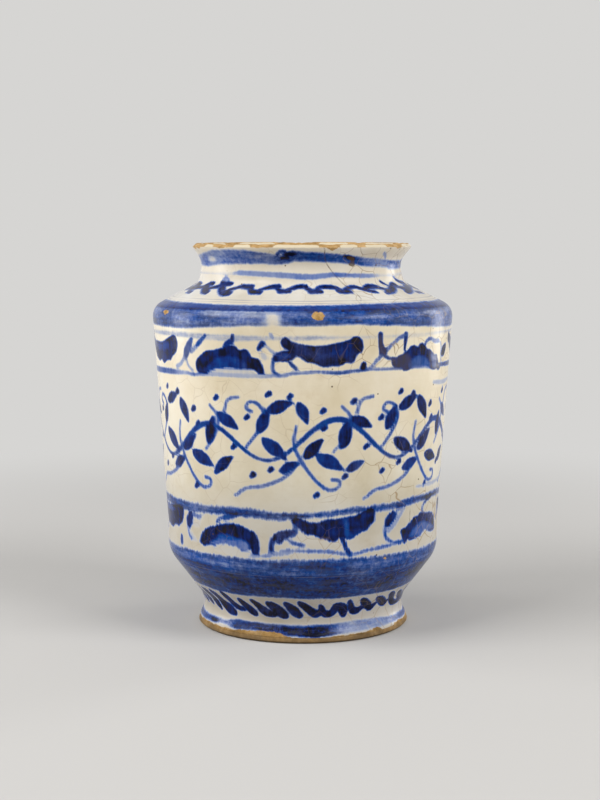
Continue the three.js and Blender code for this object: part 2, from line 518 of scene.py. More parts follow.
upperRightDome = [
    ("leaf", 0.96, [
        (34.5, 129.5), (36.5, 130.2), (38, 131.3), (40, 131.9), (42, 133.5), (44, 135.2), (46, 135.3),
        (47.5, 134.3), (48.6, 135.8), (50.5, 136.1), (52.3, 135), (53.5, 133.3), (55.5, 132.9),
        (57.5, 131.5), (59.5, 130.3), (61.5, 130), (62.5, 128), (63.3, 126), (65, 124.8), (65.4, 123.5),
        (63.5, 122.8), (62.3, 123.8), (60, 123.4), (57, 124), (54, 125.3), (50, 125.5), (46, 125.5),
        (43, 124.5), (41, 124.2), (39, 125.2), (36, 126), (34.8, 127.5)]),
    ("thin", 0.66, [
        (43, 126), (44.5, 129.2), (48, 130.6), (52, 130), (55, 127.7), (57, 125.5), (50, 125.5)]),
    ("thin", 0.52, [(56.5, 131), (57.5, 127.5), (58.5, 124.5), (61.5, 124.8), (61, 129)]),
    ("stroke", 0.62, [(52, 135.6, 1.7), (54, 137.5, 1.9), (56.5, 137.6, 1.6)]),
    ("stroke", 0.42, [(56.5, 137.6, 1.6), (59, 136.4, 2.2), (62, 136.3, 2.2)]),
    ("stroke", 0.34, [(62, 136.5, 1.1), (65, 134.5, 1.0), (65.2, 129, 0.9), (66.5, 125.6, 1.0)]),
    ("stroke", 1.0, [(66.4, 130.2, 2.8), (68, 131.2, 5.0), (69.8, 133, 3.4)]),
]
upperSlant = [
    ("stroke", 0.64, [(-48.8, 129.8, 2.6), (-47.6, 132.8, 4.0), (-46, 135.8, 3.4), (-44.6, 138.4, 1.8)]),
    ("stroke", 0.34, [(-54.8, 125.2, 2.0), (-52, 126.6, 1.9), (-50, 129, 1.8), (-48.4, 131.5, 1.8)]),
    ("stroke", 0.30, [(-48.4, 129.4, 1.6), (-47.3, 126.4, 1.5), (-45, 124.3, 1.5)]),
    ("stroke", 0.34, [(-45, 132.8, 2.2), (-42.5, 134.8, 2.0)]),
    ("stroke", 0.66, [(-42.8, 134.8, 1.4), (-40.5, 137.2, 2.1), (-37.6, 140.2, 1.6)]),
]
upperLeftDome = [
    ("leaf", 0.97, [
        (-43, 127), (-42.6, 128.8), (-41, 130.8), (-39, 132.5), (-37, 133.6), (-34, 134), (-32, 134.7),
        (-30, 135.2), (-28.5, 136), (-26, 136.4), (-24.6, 136), (-23.8, 134.8), (-22.5, 134.6),
        (-21.5, 135), (-20, 134.4), (-19.2, 132.8), (-18.4, 131.2), (-17.2, 131.2), (-15.8, 130.5),
        (-15, 129), (-14.4, 127), (-14, 125), (-14.2, 123.7), (-15.8, 124), (-17, 125.2), (-18.2, 126.2),
        (-20, 126.3), (-24, 126.3), (-28, 126.5), (-32, 126), (-35, 125), (-37.5, 122.9), (-39.5, 122.6),
        (-41.7, 123.4), (-42.8, 125)]),
    ("thin", 0.80, [
        (-39, 124.2), (-36.5, 127.6), (-33, 130.4), (-28, 131.6), (-24, 131), (-21, 129.2),
        (-20.6, 126.6), (-28, 126.4), (-34, 125.3)]),
    ("stroke", 0.84, [(-30, 134.7, 1.5), (-28.4, 137, 2.2), (-26.3, 138.3, 2.5), (-25.7, 140.6, 1.8)]),
    ("stroke", 0.97, [(-15.8, 135.2, 2.0), (-14.5, 137.4, 2.8)]),
    ("stroke", 0.28, [(-13.2, 136.6, 1.5), (-12, 135.2, 1.6), (-10.4, 133.4, 1.8)]),
    ("stroke", 0.16, [(-14.4, 132.6, 2.6), (-13.6, 131.4, 2.6)]),
    ("stroke", 0.15, [(-36, 124.2, 1.6), (-31, 125.2, 1.8), (-25, 125.2, 1.8), (-18, 124.8, 1.6)]),
]
upperComma = [
    ("stroke", 0.95, [
        (-10.2, 130.8, 2.4), (-8.4, 131.8, 4.2), (-5.8, 132.2, 4.8), (-3.8, 132.8, 3.8), (-3, 134.4, 2)]),
    ("thin", 0.78, [(-8.8, 131.2), (-7.6, 132.8), (-5, 133.2), (-4.4, 131.8), (-6.6, 130.8)]),
    ("stroke", 0.70, [(-10.3, 131, 1.6), (-10.9, 128, 1.4), (-10.6, 125.2, 1.5), (-8.2, 123.5, 1.8)]),
    ("stroke", 0.40, [(-8.2, 123.5, 1.8), (-6, 123.6, 1.4), (-3.5, 125, 1.2)]),
    ("stroke", 0.84, [(-4.6, 129.2, 1.0), (-3.4, 127.8, 1.7), (-2.4, 126.6, 1.6)]),
    ("stroke", 0.22, [(-11.3, 140.5, 1.8), (-11, 139.6, 1.2)]),
]
upperFarHanging = [
    ("leaf", 0.95, [
        (-84, 139), (-85, 136.5), (-83, 133.5), (-80, 131), (-77.5, 129), (-75.5, 127.6), (-73, 126.9),
        (-71, 126.6), (-68.4, 127.4), (-66.4, 125.9), (-64, 126.6), (-62, 127.7), (-59.4, 127.8),
        (-57.4, 129.8), (-55.3, 131.2), (-54, 133), (-53.3, 136), (-54.3, 138.7), (-56, 139.4),
        (-58.8, 138.4), (-62, 137), (-66, 135.6), (-72, 135.3), (-78, 135.8), (-81.5, 138.2)]),
    ("thin", 0.78, [
        (-82, 136.6), (-74, 134.6), (-66, 134.8), (-61, 136), (-60, 133.6), (-64, 132), (-72, 131.6),
        (-79, 133.6)]),
    ("stroke", 1.0, [(-74.5, 128.6, 1.6), (-71, 128.3, 2.2), (-67.5, 128.4, 1.6)]),
]
lowerHanging = [
    ("leaf", 0.94, [
        (-4.5, 60), (-3, 61.3), (-1, 60.6), (1, 59.4), (3, 58.6), (6, 58.7), (9, 59.7), (13, 60),
        (15.5, 60.3), (18, 60.6), (21, 61), (23, 62), (25, 63.3), (28, 64), (29.6, 62.8), (29.8, 60),
        (29.3, 57.4), (28, 56.3), (27, 55), (26, 53.8), (24.5, 53.2), (22.5, 52.7), (21.5, 51.8),
        (20, 50.6), (18, 50.4), (16.5, 50.8), (15, 51.2), (13.3, 50.2), (12, 49.5), (10.3, 49.9),
        (9, 50.8), (7, 51.2), (5.5, 52.3), (3.5, 52.9), (1.5, 53), (0, 54), (-1.5, 55.5), (-3, 56.5),
        (-4.3, 58)]),
    ("stroke", 1.0, [
        (-2.4, 59, 2.4), (0.5, 56.4, 3), (4, 55.4, 3), (8, 54.4, 3), (12, 54, 2.6), (15, 55.5, 2.6)]),
    ("stroke", 0.98, [(19, 56.4, 3.4), (22, 56.8, 3.2)]),
    ("stroke", 0.98, [(27.5, 62, 3), (26, 60, 3.4), (25.6, 57.5, 2)]),
    ("thin", 0.66, [(15.8, 60.3), (16.3, 54.6), (17.5, 51), (20, 51.5), (18.6, 54.3), (17.6, 58.6)]),
    ("stroke", 0.90, [(15.2, 57, 1.6), (15.6, 52, 1.9), (16.8, 46.8, 2.0), (18.6, 43.6, 2.2)]),
    ("stroke", 0.70, [(-3.4, 57.5, 1.8), (-2.9, 54.4, 2.4), (-4.6, 52.2, 1.6)]),
]
lowerCurl = [
    ("leaf", 0.92, [
        (34.3, 54.3), (34.5, 57), (36, 59.6), (38, 61), (40, 61), (40.6, 59), (39.6, 56.8), (38, 55.3),
        (36, 54.2)]),
    ("stroke", 0.62, [
        (34.4, 54.8, 1.4), (34.7, 51.4, 1.6), (36.6, 48.2, 1.8), (41, 46.3, 1.8), (45, 46.5, 1.8)]),
    ("stroke", 0.30, [(36.6, 52.4, 2.4), (39, 54.8, 3.0), (42, 58.4, 2.4), (45, 61.8, 1.8)]),
    ("stroke", 0.40, [(41, 61.5, 2.0), (43.5, 62.5, 2.0)]),
]
lowerRightDome = [
    ("leaf", 0.94, [
        (43.3, 51.3), (44.5, 52.3), (46.5, 53), (49, 54.5), (51.5, 56.4), (54, 56.8), (57, 58.2),
        (59.5, 57.6), (62, 56.9), (65, 56.7), (67.5, 56.2), (70, 55), (72, 53), (73, 50), (73, 47.1),
        (70, 46.8), (67, 47.2), (64, 48), (61, 49), (58, 47.6), (55, 46.6), (51, 46), (49, 46),
        (47.5, 46.8), (46, 45.3), (44.5, 46.3), (44, 49)]),
    ("thin", 0.56, [
        (48.5, 47.6), (51, 50.8), (56, 53.2), (62, 52.6), (67, 50.8), (72, 48.4), (65, 48), (57, 47.2)]),
    ("stroke", 0.80, [(57.6, 58, 1.6), (58.2, 61, 1.9), (61, 63, 1.9), (65, 64, 2.4)]),
]
lowerOval = [
    ("stroke", 0.90, [(-53.6, 53, 3.8), (-52.7, 55.4, 4.8), (-51.6, 57.6, 3.8)]),
    ("stroke", 0.52, [(-54.6, 52, 1.5), (-54, 49, 1.6), (-52, 46.8, 2.4)]),
    ("stroke", 0.50, [(-50, 58.2, 2.2), (-46, 57.6, 2.2), (-44.6, 58.6, 1.4)]),
    ("stroke", 0.11, [(-50, 54, 2.6), (-47.5, 53.6, 3.0), (-46, 55.6, 2.0)]),
    ("stroke", 0.16, [(-53, 49.5, 2.4), (-50.5, 47, 2.6), (-48.6, 46.2, 1.6)]),
    ("stroke", 0.76, [(-60.2, 46, 2.6), (-60.1, 43.6, 2.6)]),
]
lowerLeftDome = [
    ("leaf", 0.97, [
        (-46.3, 46), (-46, 48), (-45, 50.3), (-43, 52.3), (-41, 53.8), (-38, 54.5), (-35, 55.8),
        (-31, 56.4), (-28.5, 56.7), (-25, 56), (-22, 54.6), (-19.2, 53.2), (-18, 51), (-17.4, 48),
        (-17.3, 45), (-17.8, 43), (-19, 42.7), (-20.4, 43.3), (-21.2, 45.4), (-23, 44.4), (-25, 43.7),
        (-26.5, 45.6), (-30, 46.3), (-34, 46.8), (-38, 45.3), (-40, 45.3), (-42, 45.2), (-43.5, 44.3),
        (-45, 45)]),
    ("thin", 0.48, [
        (-40.4, 46), (-38, 48), (-34, 49.4), (-29, 49.8), (-24.5, 49.6), (-21.8, 47.4), (-22.5, 44.5),
        (-26, 44.6), (-33, 46)]),
    ("thin", 0.66, [(-37, 49.4), (-34, 51.4), (-30, 51), (-27, 50), (-32, 48.8)]),
    ("stroke", 0.09, [(-37, 44.6, 3.0), (-30, 43.8, 3.4), (-22, 43, 2.6)]),
    ("stroke", 0.68, [(-36.5, 56.6, 1.6), (-34, 58.7, 2.0), (-31, 59.4, 2.6), (-27.6, 61, 3.0)]),
]
lowerComma = [
    ("stroke", 0.88, [
        (-12.4, 45.2, 2.4), (-12.3, 48.4, 2.0), (-11, 51.6, 2.8), (-8.6, 52.8, 3.8), (-6, 53.4, 3.4),
        (-3.4, 54.4, 2.6)]),
    ("stroke", 0.95, [(-9.4, 49.8, 2.4), (-8, 51.6, 2.6), (-6, 52.8, 2.4)]),
    ("stroke", 0.66, [(-5.6, 50.6, 1.0), (-3.6, 49.1, 1.8), (0.3, 48.1, 1.9)]),
    ("stroke", 0.36, [(-12.4, 45, 2.2), (-10, 44.1, 2.0), (-6, 45, 1.9), (-2, 46.2, 1.8)]),
]
lowerFarHanging = [
    ("leaf", 0.94, [
        (-84, 60.5), (-84.5, 56), (-82, 52), (-78, 49.4), (-75, 49.4), (-71, 48.7), (-68, 50),
        (-65, 50.9), (-63, 50.1), (-61.4, 51.8), (-60, 52), (-58.3, 54), (-57.3, 57), (-57.6, 60.4),
        (-62, 61), (-70, 59.6), (-78, 59.4)]),
    ("thin", 0.70, [(-78, 58.6), (-72, 58.8), (-66, 58), (-70, 56.6), (-77, 56.4)]),
]
pairA = upperFarHanging + upperSlant + upperLeftDome + upperComma
pairB = upperHanging + upperFlick + upperRightDome
pairC = lowerFarHanging + lowerOval + lowerLeftDome + lowerComma
pairD = lowerHanging + lowerCurl + lowerRightDome
# motifs, shift in degrees, squeeze: the back repeats the front's leaves, as a painter's hand would
friezes = [
    (pairA, 0, 1), (pairB, 0, 1), (pairB, 81, 1), (pairA, 236, 1), (upperHanging + upperFlick, 241, 0.85),
    (pairC, 0, 1), (pairD, 0, 1), (pairD, 81, 1), (pairC, 236, 1), (lowerHanging + lowerCurl, 241, 0.85),
]


def paintMotifs(coat, motifs, shift, squeeze, chance):
    # the motifs at the front stay as drawn, and their repeats stray a little
    loose = shift != 0
    friezeStray, motifStray, pointStray = paint["stray"]
    drift = chance.uniform(-friezeStray, friezeStray) if loose else 0
    for kind, tone, spots in motifs:
        moved = []
        slip = chance.uniform(-motifStray, motifStray, 2) if loose else (0, 0)
        for spot in spots:
            shake = chance.uniform(-pointStray, pointStray, 2) if loose else (0, 0)
            turn = shift + spot[0] * squeeze + slip[0] + shake[0]
            moved.append((turn, spot[1] + drift + slip[1] + shake[1], *spot[2:]))
        if kind == "leaf":
            coat.leaf(moved, tone)
        elif kind == "thin":
            coat.thin(moved, tone)
        else:
            coat.stroke(moved, tone)


# Bands right round the jar. Middle, width and strength are each read along the angle.

bands = {
    "neck": (
        [(-80, 172.1), (-65, 172.6), (-58, 173.2), (-52, 174), (-40, 174.3), (-30, 174.2), (-22, 173.9),
         (-15, 173.3), (-11, 173.1), (-7, 174.3), (-4, 175), (0, 174.6), (10, 174.2), (20, 173.7),
         (30, 172.8), (35, 172.2), (42, 171.7), (50, 171.3), (56, 171), (61, 170.3), (75, 170.2),
         (100, 172), (140, 173.8), (200, 173), (240, 172.4)],
        [(-80, 4.6), (-65, 6), (-58, 6.4), (-52, 6.8), (-40, 6.6), (-30, 6), (-22, 5.2), (-15, 4.4),
         (-11, 3.8), (-7, 5.4), (-4, 4.6), (0, 4.2), (10, 3.9), (20, 3.5), (30, 3.3), (42, 3.8),
         (56, 3.6), (61, 4), (75, 3.6), (120, 5.4), (200, 6.4)],
        [(-80, 0.46), (-66, 0.50), (-56, 0.46), (-50, 0.42), (-44, 0.48), (-36, 0.52), (-28, 0.64),
         (-18, 0.68), (-10, 0.78), (-4, 0.80), (6, 0.74), (26, 0.76), (34, 0.64), (42, 0.50), (55, 0.44),
         (61, 0.64), (75, 0.66), (120, 0.60), (160, 0.5), (220, 0.66)]),
    "shoulderWash": (
        [(-80, 147.2), (-60, 147.2), (-45, 147.5), (-32, 148), (-20, 148.5), (20, 148.8), (45, 148.1),
         (60, 147.4), (75, 147.1), (120, 148), (200, 148.4)],
        [(-80, 8.8), (-60, 8.8), (-45, 8.4), (-32, 7.6), (-20, 6.8), (20, 6.4), (45, 7.8), (60, 9.2),
         (75, 9.8), (120, 8.2), (200, 7.6)],
        [(-80, 0.70), (-62, 0.66), (-45, 0.66), (-33, 0.60), (-26, 0.56), (-20, 0.46), (-14, 0.48),
         (-7, 0.64), (10, 0.68), (20, 0.72), (36, 0.72), (58, 0.64), (66, 0.62), (75, 0.68), (120, 0.64),
         (160, 0.52), (200, 0.66), (240, 0.60)]),
    "friezeTop": (
        [(-80, 139.6), (-50, 140), (-30, 139.5), (10, 140.1), (45, 139.9), (75, 140), (180, 139.6)],
        [(-80, 1.8), (-44, 2.2), (-36, 3.0), (-22, 2.8), (-12, 1.8), (180, 1.8)],
        [(-80, 0.22), (-44, 0.26), (-36, 0.24), (-22, 0.22), (0, 0.28), (6, 0.26), (14, 0.16), (30, 0.14),
         (60, 0.17), (75, 0.22), (180, 0.24)]),
    "wallFoot": (
        [(-80, 61.6), (-65, 61.7), (-50, 61.4), (-35, 62), (-20, 62.1), (-10, 61), (0, 61.6), (10, 62.2),
         (20, 63.4), (30, 63.3), (40, 63.4), (50, 64.7), (60, 64.6), (70, 65), (80, 64), (120, 62.8),
         (180, 62), (240, 61.6)],
        [(-80, 3.8), (-50, 4.0), (-25, 3.8), (-10, 3.4), (0, 2.6), (10, 2.4), (20, 2.6), (30, 2.8),
         (45, 3.2), (60, 2.8), (75, 2.6), (120, 3.0), (200, 3.4)],
        [(-80, 0.74), (-60, 0.80), (-45, 0.66), (-30, 0.78), (-20, 0.84), (-5, 0.84), (5, 0.70),
         (15, 0.74), (30, 0.76), (45, 0.80), (55, 0.72), (64, 0.90), (80, 0.82), (140, 0.72),
         (200, 0.78)]),
    "belly": (
        [(-80, 31.4), (-40, 31.5), (0, 31.7), (40, 31.6), (80, 31.3), (180, 31.5)],
        [(-80, 18.6), (-20, 19.2), (10, 20), (40, 19.6), (80, 18.8), (180, 19)],
        [(-80, 0.93), (-40, 0.91), (-15, 0.97), (10, 0.98), (35, 0.95), (60, 0.93), (180, 0.95)]),
    "foot": (
        [(-80, 5.2), (-62, 5.3), (-54, 5.7), (-46, 5.9), (-38, 6.1), (-26, 6.4), (-12, 5.9), (0, 5.5),
         (12, 5.6), (20, 6.2), (30, 6.4), (44, 6.2), (60, 5.4), (80, 5.2), (130, 6), (180, 6.4),
         (240, 5.6)],
        [(-80, 2.2), (-56, 2.6), (-52, 2.0), (-46, 2.2), (-42, 3.4), (-38, 4.0), (-26, 3.6), (-12, 4.4),
         (0, 5.0), (12, 4.8), (20, 4.4), (30, 5.0), (44, 4.6), (60, 2.4), (80, 2.2), (130, 3.6),
         (180, 4.2), (240, 3)],
        [(-80, 0.88), (-56, 0.92), (-52, 0.50), (-46, 0.52), (-41, 0.84), (-26, 0.92), (-12, 0.95),
         (6, 0.96), (14, 0.86), (21, 0.50), (30, 0.40), (44, 0.36), (56, 0.42), (64, 0.80), (90, 0.84),
         (130, 0.6), (180, 0.8), (230, 0.5)]),
}
# Thinner lines with cleaner edges
brushLines = {
    "underNeck": (
        [(-80, 166.5), (-42, 166.7), (-36, 167.2), (-22, 166.8), (-8, 166.2), (0, 165.6), (8, 165.6),
         (17, 166.5), (26, 166.2), (35, 165.8), (60, 165.7), (120, 166.5), (200, 166.9)],
        [(-80, 1.2), (-42, 1.2), (-36, 2.3), (0, 2.6), (14, 2.3), (24, 1.9), (36, 2.0), (50, 1.2),
         (120, 1.8), (200, 2.3)],
        [(-80, 0.16), (-42, 0.16), (-36, 0.36), (-10, 0.40), (4, 0.42), (14, 0.38), (19, 0.48),
         (26, 0.48), (34, 0.38), (42, 0.36), (50, 0.16), (75, 0.16), (110, 0.4), (160, 0.46), (200, 0.3),
         (250, 0.40)]),
    "shoulderDark": (
        [(-80, 152.2), (-50, 152.3), (-34, 152.4), (0, 152.4), (40, 152.6), (80, 152.4), (180, 152.4)],
        [(-80, 3.4), (-50, 3.0), (-30, 2.5), (0, 2.5), (30, 3.0), (80, 3.0), (180, 2.5)],
        [(-80, 0.74), (-60, 0.78), (-40, 0.78), (-20, 0.75), (4, 0.73), (20, 0.77), (60, 0.79),
         (80, 0.75), (180, 0.77)]),
    "friezeFoot": (
        [(-80, 122), (-60, 122.6), (-54, 122.7), (-48, 122.9), (-44, 122.4), (-37, 123.2), (-15, 123.3),
         (-8, 123.6), (-5, 124.5), (5, 125.3), (13, 124.7), (20, 125.4), (25, 125.9), (35, 125.6),
         (48, 125.5), (56, 124.9), (65, 125.2), (75, 124.8), (100, 124.2), (140, 123.5), (180, 122.8),
         (230, 122.6), (280, 122)],
        [(-80, 2.4), (-60, 2.6), (-54, 2), (-48, 1.6), (-43, 1.2), (-37, 2), (-15, 2), (-8, 1.4),
         (0, 1.2), (13, 1.5), (20, 1.4), (30, 1.1), (45, 1.3), (60, 1.2), (68, 1.8), (75, 2), (140, 1.8),
         (230, 2)],
        [(-80, 0.6), (-57, 0.62), (-50, 0.32), (-44, 0.58), (-37, 0.24), (-15, 0.22), (-8, 0.44),
         (0, 0.46), (5, 0.58), (13, 0.70), (20, 0.70), (26, 0.56), (35, 0.46), (45, 0.4), (58, 0.34),
         (66, 0.8), (75, 0.84), (140, 0.5), (230, 0.56)]),
}
# Lighter and darker runs inside the bands of the shoulder and the belly: middle, width, strength
bandRuns = [
    ([(0, 150.3)], [(0, 2.2)],
     [(-80, 0.64), (-60, 0.64), (-46, 0.56), (-40, 0.44), (-36, 0.34), (-32, 0.36), (-28, 0.52),
      (-25, 0.52), (-20, 0.34), (-15, 0.38), (-8, 0.58), (6, 0.66), (24, 0.74), (34, 0.72), (44, 0.56),
      (54, 0.52), (70, 0.56), (80, 0.62), (180, 0.60)]),
    ([(-80, 38.2), (0, 38.8), (40, 38.4), (180, 38.2)], [(0, 5.4)],
     [(-80, 0.72), (-44, 0.58), (-30, 0.68), (-12, 0.80), (12, 0.80), (22, 0.72), (60, 0.72), (180, 0.74)]),
    ([(-80, 34.6), (0, 34.9), (40, 34.6), (180, 34.7)], [(0, 1.8)],
     [(-80, 0.78), (-10, 0.74), (20, 0.62), (50, 0.64), (180, 0.72)]),
    ([(-80, 23.4), (0, 23.2), (80, 23.6), (180, 23.4)], [(0, 2.4)],
     [(-80, 0.86), (-30, 0.88), (0, 0.82), (30, 0.74), (80, 0.82), (180, 0.80)]),
]

# The shoulder's chain: one dark line that drops and climbs in short flat steps
chain = [
    [(-78, 161.4, 1.8), (-73, 161.3, 1.9), (-69, 160.6, 1.4)],
    [(-78, 159.6, 1.6), (-70, 159.7, 1.8), (-64, 160.1, 1.4), (-60, 160.5, 1.5)],
    [(-71, 158.5, 1.0), (-68, 158.1, 1.2), (-64, 157.8, 1.0)],
    [(-62.6, 160.8, 1.1), (-60, 161.5, 1.6), (-57.6, 161.9, 1.7), (-54.4, 161.9, 1.4)],
    [(-59.6, 160.8, 1.9), (-57, 160, 2.1), (-54, 159, 2.1), (-49.8, 158.1, 1.4)],
    [(-53.6, 160, 1.2), (-50, 160.6, 1.3), (-46, 161.2, 2.0)],
    [(-48, 162.8, 1.5), (-44, 162.1, 2.2), (-39.6, 162.2, 1.4)],
    [(-46.4, 161.2, 2.0), (-43.6, 160, 2.1), (-40.6, 158.8, 2.1), (-37.4, 158.3, 2.3), (-35, 158.1, 1.7)],
    [(-38.4, 159.6, 1.5), (-35.6, 160.3, 1.3), (-32.6, 161.1, 1.3)],
    [(-32, 161.4, 1.5), (-29, 161.1, 1.9), (-26, 161, 2.0)],
    [(-26.4, 160.4, 1.8), (-24.4, 159.2, 1.9), (-22, 159, 1.8), (-19.6, 158.9, 1.5)],
    [(-21.4, 159.8, 1.3), (-18.4, 160.6, 1.3), (-15, 161.2, 1.7), (-11.7, 161.4, 1.9)],
    [(-12.2, 160.4, 1.5), (-10.6, 159.5, 1.7), (-8, 159.4, 1.6), (-5.8, 159.5, 1.3)],
    [(-7, 160, 1.3), (-4.4, 160.7, 1.4), (-2, 161.4, 1.6), (2.5, 161.4, 1.6)],
    [(2, 160.8, 1.4), (4.4, 159.9, 1.5)],
    [(3.6, 159.2, 1.5), (6, 159.3, 1.8), (9.4, 159.3, 1.5)],
    [(7.4, 160.3, 1.3), (9.8, 161.1, 1.5), (13.6, 161.2, 1.6), (17.4, 160.8, 1.5), (19.4, 160, 1.3)],
    [(17.4, 159.4, 1.4), (20, 159.3, 1.7), (24, 159.1, 1.4)],
    [(21.6, 160, 1.3), (24.6, 160.8, 1.2), (28, 161.1, 1.3), (31, 160.3, 1.4), (34.6, 159.3, 1.5),
     (38.2, 158.8, 1.0)],
    [(33, 160.2, 1.3), (36.6, 161, 1.8), (41, 161, 1.8), (44.4, 160.3, 1.5), (46.6, 159.6, 1.0)],
    [(48.2, 163, 1.1), (51.6, 161.5, 1.0)],
    [(42.8, 158.1, 1.0), (46, 158.8, 1.7), (50, 159.4, 1.9), (54, 160.6, 1.8), (58, 161.7, 1.7),
     (60.8, 161.3, 1.4)],
    [(57, 160.6, 1.0), (61, 160, 1.2), (65, 159.8, 1.4)],
    [(58.2, 157.9, 1.0), (62, 158.5, 1.7), (66, 159.1, 2.0), (70, 160, 2.0), (77, 160.7, 1.4)],
    [(63.2, 164.6, 0.9), (66, 163.2, 1.2), (70, 162.3, 1.3), (77, 161.6, 1.2)],
    [(69, 157.8, 0.8), (77, 157.4, 1.0)],
]
# a paler touch above it
chainPale = [(-47, 164.1, 1.8), (-45, 164.5, 2.3), (-43, 163.8, 1.6)]
# one step of the chain for the back, from its own start, and where they go: from, to, step in degrees
chainBack = (76, 278, 15.4)
chainStep = [
    [(0, 160.8, 1.4), (2.2, 159.6, 1.6), (5, 159.3, 1.8), (7.6, 159.4, 1.4)],
    [(5.6, 160.2, 1.3), (8.6, 161, 1.5), (12, 161.3, 1.7), (15.4, 161.2, 1.8)],
]

# The rope above the foot: slanting strokes that bend to the right at their lower end and run together
rope = [
    [(-82, 18.6, 1.6), (-77, 16.6, 2.4), (-72, 14.6, 2.6), (-68, 13, 1.8)],
    [(-73, 19, 1.6), (-69, 17.4, 2.4), (-64, 14.8, 2.6), (-61, 13, 1.6)],
    [(-64, 19.6, 1.8), (-60, 18.4, 3.0), (-57, 16, 3.6), (-54.6, 13.6, 3.0), (-52.6, 11.8, 1.6)],
    [(-54.6, 20, 2.0), (-51, 18.2, 3.0), (-48.6, 15, 4.0), (-45.4, 13, 4.6), (-42, 11.6, 3.2),
     (-41, 11, 1.8)],
    [(-44.6, 20.6, 2.0), (-42.4, 18.6, 2.8), (-40, 15.8, 2.8), (-37, 14.3, 2.4), (-34, 13.8, 1.8)],
    [(-34.2, 18.4, 2.2), (-32.6, 16.8, 3.0), (-30, 14.4, 3.4), (-27.4, 12.8, 2.6), (-26.4, 12, 1.4)],
    [(-26.6, 19, 1.8), (-24.6, 17.4, 2.6), (-22, 14.9, 3.6), (-19, 13.3, 3.2), (-15.6, 12.9, 2.2)],
    [(-18, 18.4, 2.2), (-15.6, 17, 4.0), (-13, 14.8, 4.4), (-10.4, 12.9, 3.2), (-9, 12.2, 1.8)],
    [(-8.8, 18.9, 2.0), (-7, 17.2, 3.2), (-4.6, 14.9, 3.8), (-2.4, 13.1, 3.0), (-1.2, 12.8, 1.8)],
    [(-1.8, 19.4, 1.8), (0.4, 17.8, 2.8), (3.6, 15.2, 3.2), (6.6, 13.5, 3.2), (8.6, 14, 2.4),
     (9.6, 16, 2.0), (8.8, 17.8, 1.4)],
    [(9.4, 17, 1.8), (10.4, 14.6, 2.6), (12.4, 13.1, 2.8), (15.6, 13.7, 2.8), (17, 16, 3.0),
     (18, 17.6, 1.8)],
    [(17, 17.2, 2.4), (19.6, 16.8, 3.4), (21.8, 14.8, 3.8), (22.4, 12.8, 2.8), (22.6, 11.8, 1.6)],
    [(24, 19.2, 1.6), (25.4, 17, 2.2), (27, 14.6, 2.8), (29.6, 13.4, 2.8), (33, 14.8, 2.2)],
    [(31.4, 19.2, 1.8), (33.4, 17.8, 2.8), (36.4, 15.8, 3.0), (39.4, 14, 2.6), (42.4, 15.6, 1.8)],
    [(41.8, 18.6, 1.8), (44.6, 17.4, 2.8), (48, 15.6, 3.2), (50.6, 14.6, 2.4), (52.4, 15.6, 1.4)],
    [(51.4, 19.4, 1.8), (53.8, 18, 2.8), (56.2, 15.8, 3.0), (59, 13.8, 2.6), (64, 12.8, 2.0),
     (72, 12.4, 1.4)],
    [(61, 18.4, 1.8), (65, 16.6, 2.8), (69, 14.6, 2.8), (74, 13.2, 1.8)],
]
# one stroke of the rope for the back, from its own start, and where they go
ropeBack = (71, 276, 8.8)
ropeStep = [(0, 18.8, 1.8), (2, 17.3, 2.8), (4.6, 15, 3.4), (7.4, 13.4, 3.0), (10, 13.8, 1.8)]

# Small brush marks: strength and stroke
marks = [
    (0.72, [(-12.8, 175.2, 1.6), (-11.2, 176.6, 1.4), (-8.6, 176.9, 1.6)]),
    (0.90, [(-9.4, 175.6, 1.4), (-6, 175.6, 2.2), (-2.6, 175.8, 1.4)]),
    (0.9, [(-10.6, 173.8, 1.6), (-7.4, 174, 2.4)]),
    (0.92, [(23, 174.8, 1.4), (25.4, 174.2, 1.8), (29.4, 173.4, 1.8)]),
    (0.44, [(48.6, 176, 0.8), (51.6, 174.6, 1.0), (53, 173.4, 1.0)]),
    (0.92, [(-62, 5.4, 1.4), (-59, 5.1, 1.8), (-55.6, 5.4, 1.6)]),
    (0.94, [(2, 3.9, 1.4), (6, 3.6, 1.8), (11, 4, 1.4)]),
    (0.60, [(-52, 5.6, 0.9), (-48, 6, 0.9), (-44, 7, 0.8)]),
    (0.30, [(-11.4, 141.6, 1.5), (-10.8, 140.2, 2.0)]),
    (0.22, [(60, 117.6, 1.8), (70, 116.8, 2.4), (82, 117.4, 1.6)]),
    (0.22, [(52, 70.6, 1.4), (66, 70.2, 2.0), (80, 71.4, 1.4)]),
    (0.42, [(-22, 42.6, 1.6), (-14, 43.2, 1.7), (-8, 45.4, 1.5)]),
    (0.50, [
        (-8, 45.8, 1.4), (0, 45.7, 1.5), (10, 45.2, 1.7), (15, 44.2, 1.6), (20, 43.4, 1.5),
        (26, 44.6, 1.5), (33, 45.3, 1.6), (41, 46, 1.5)]),
]

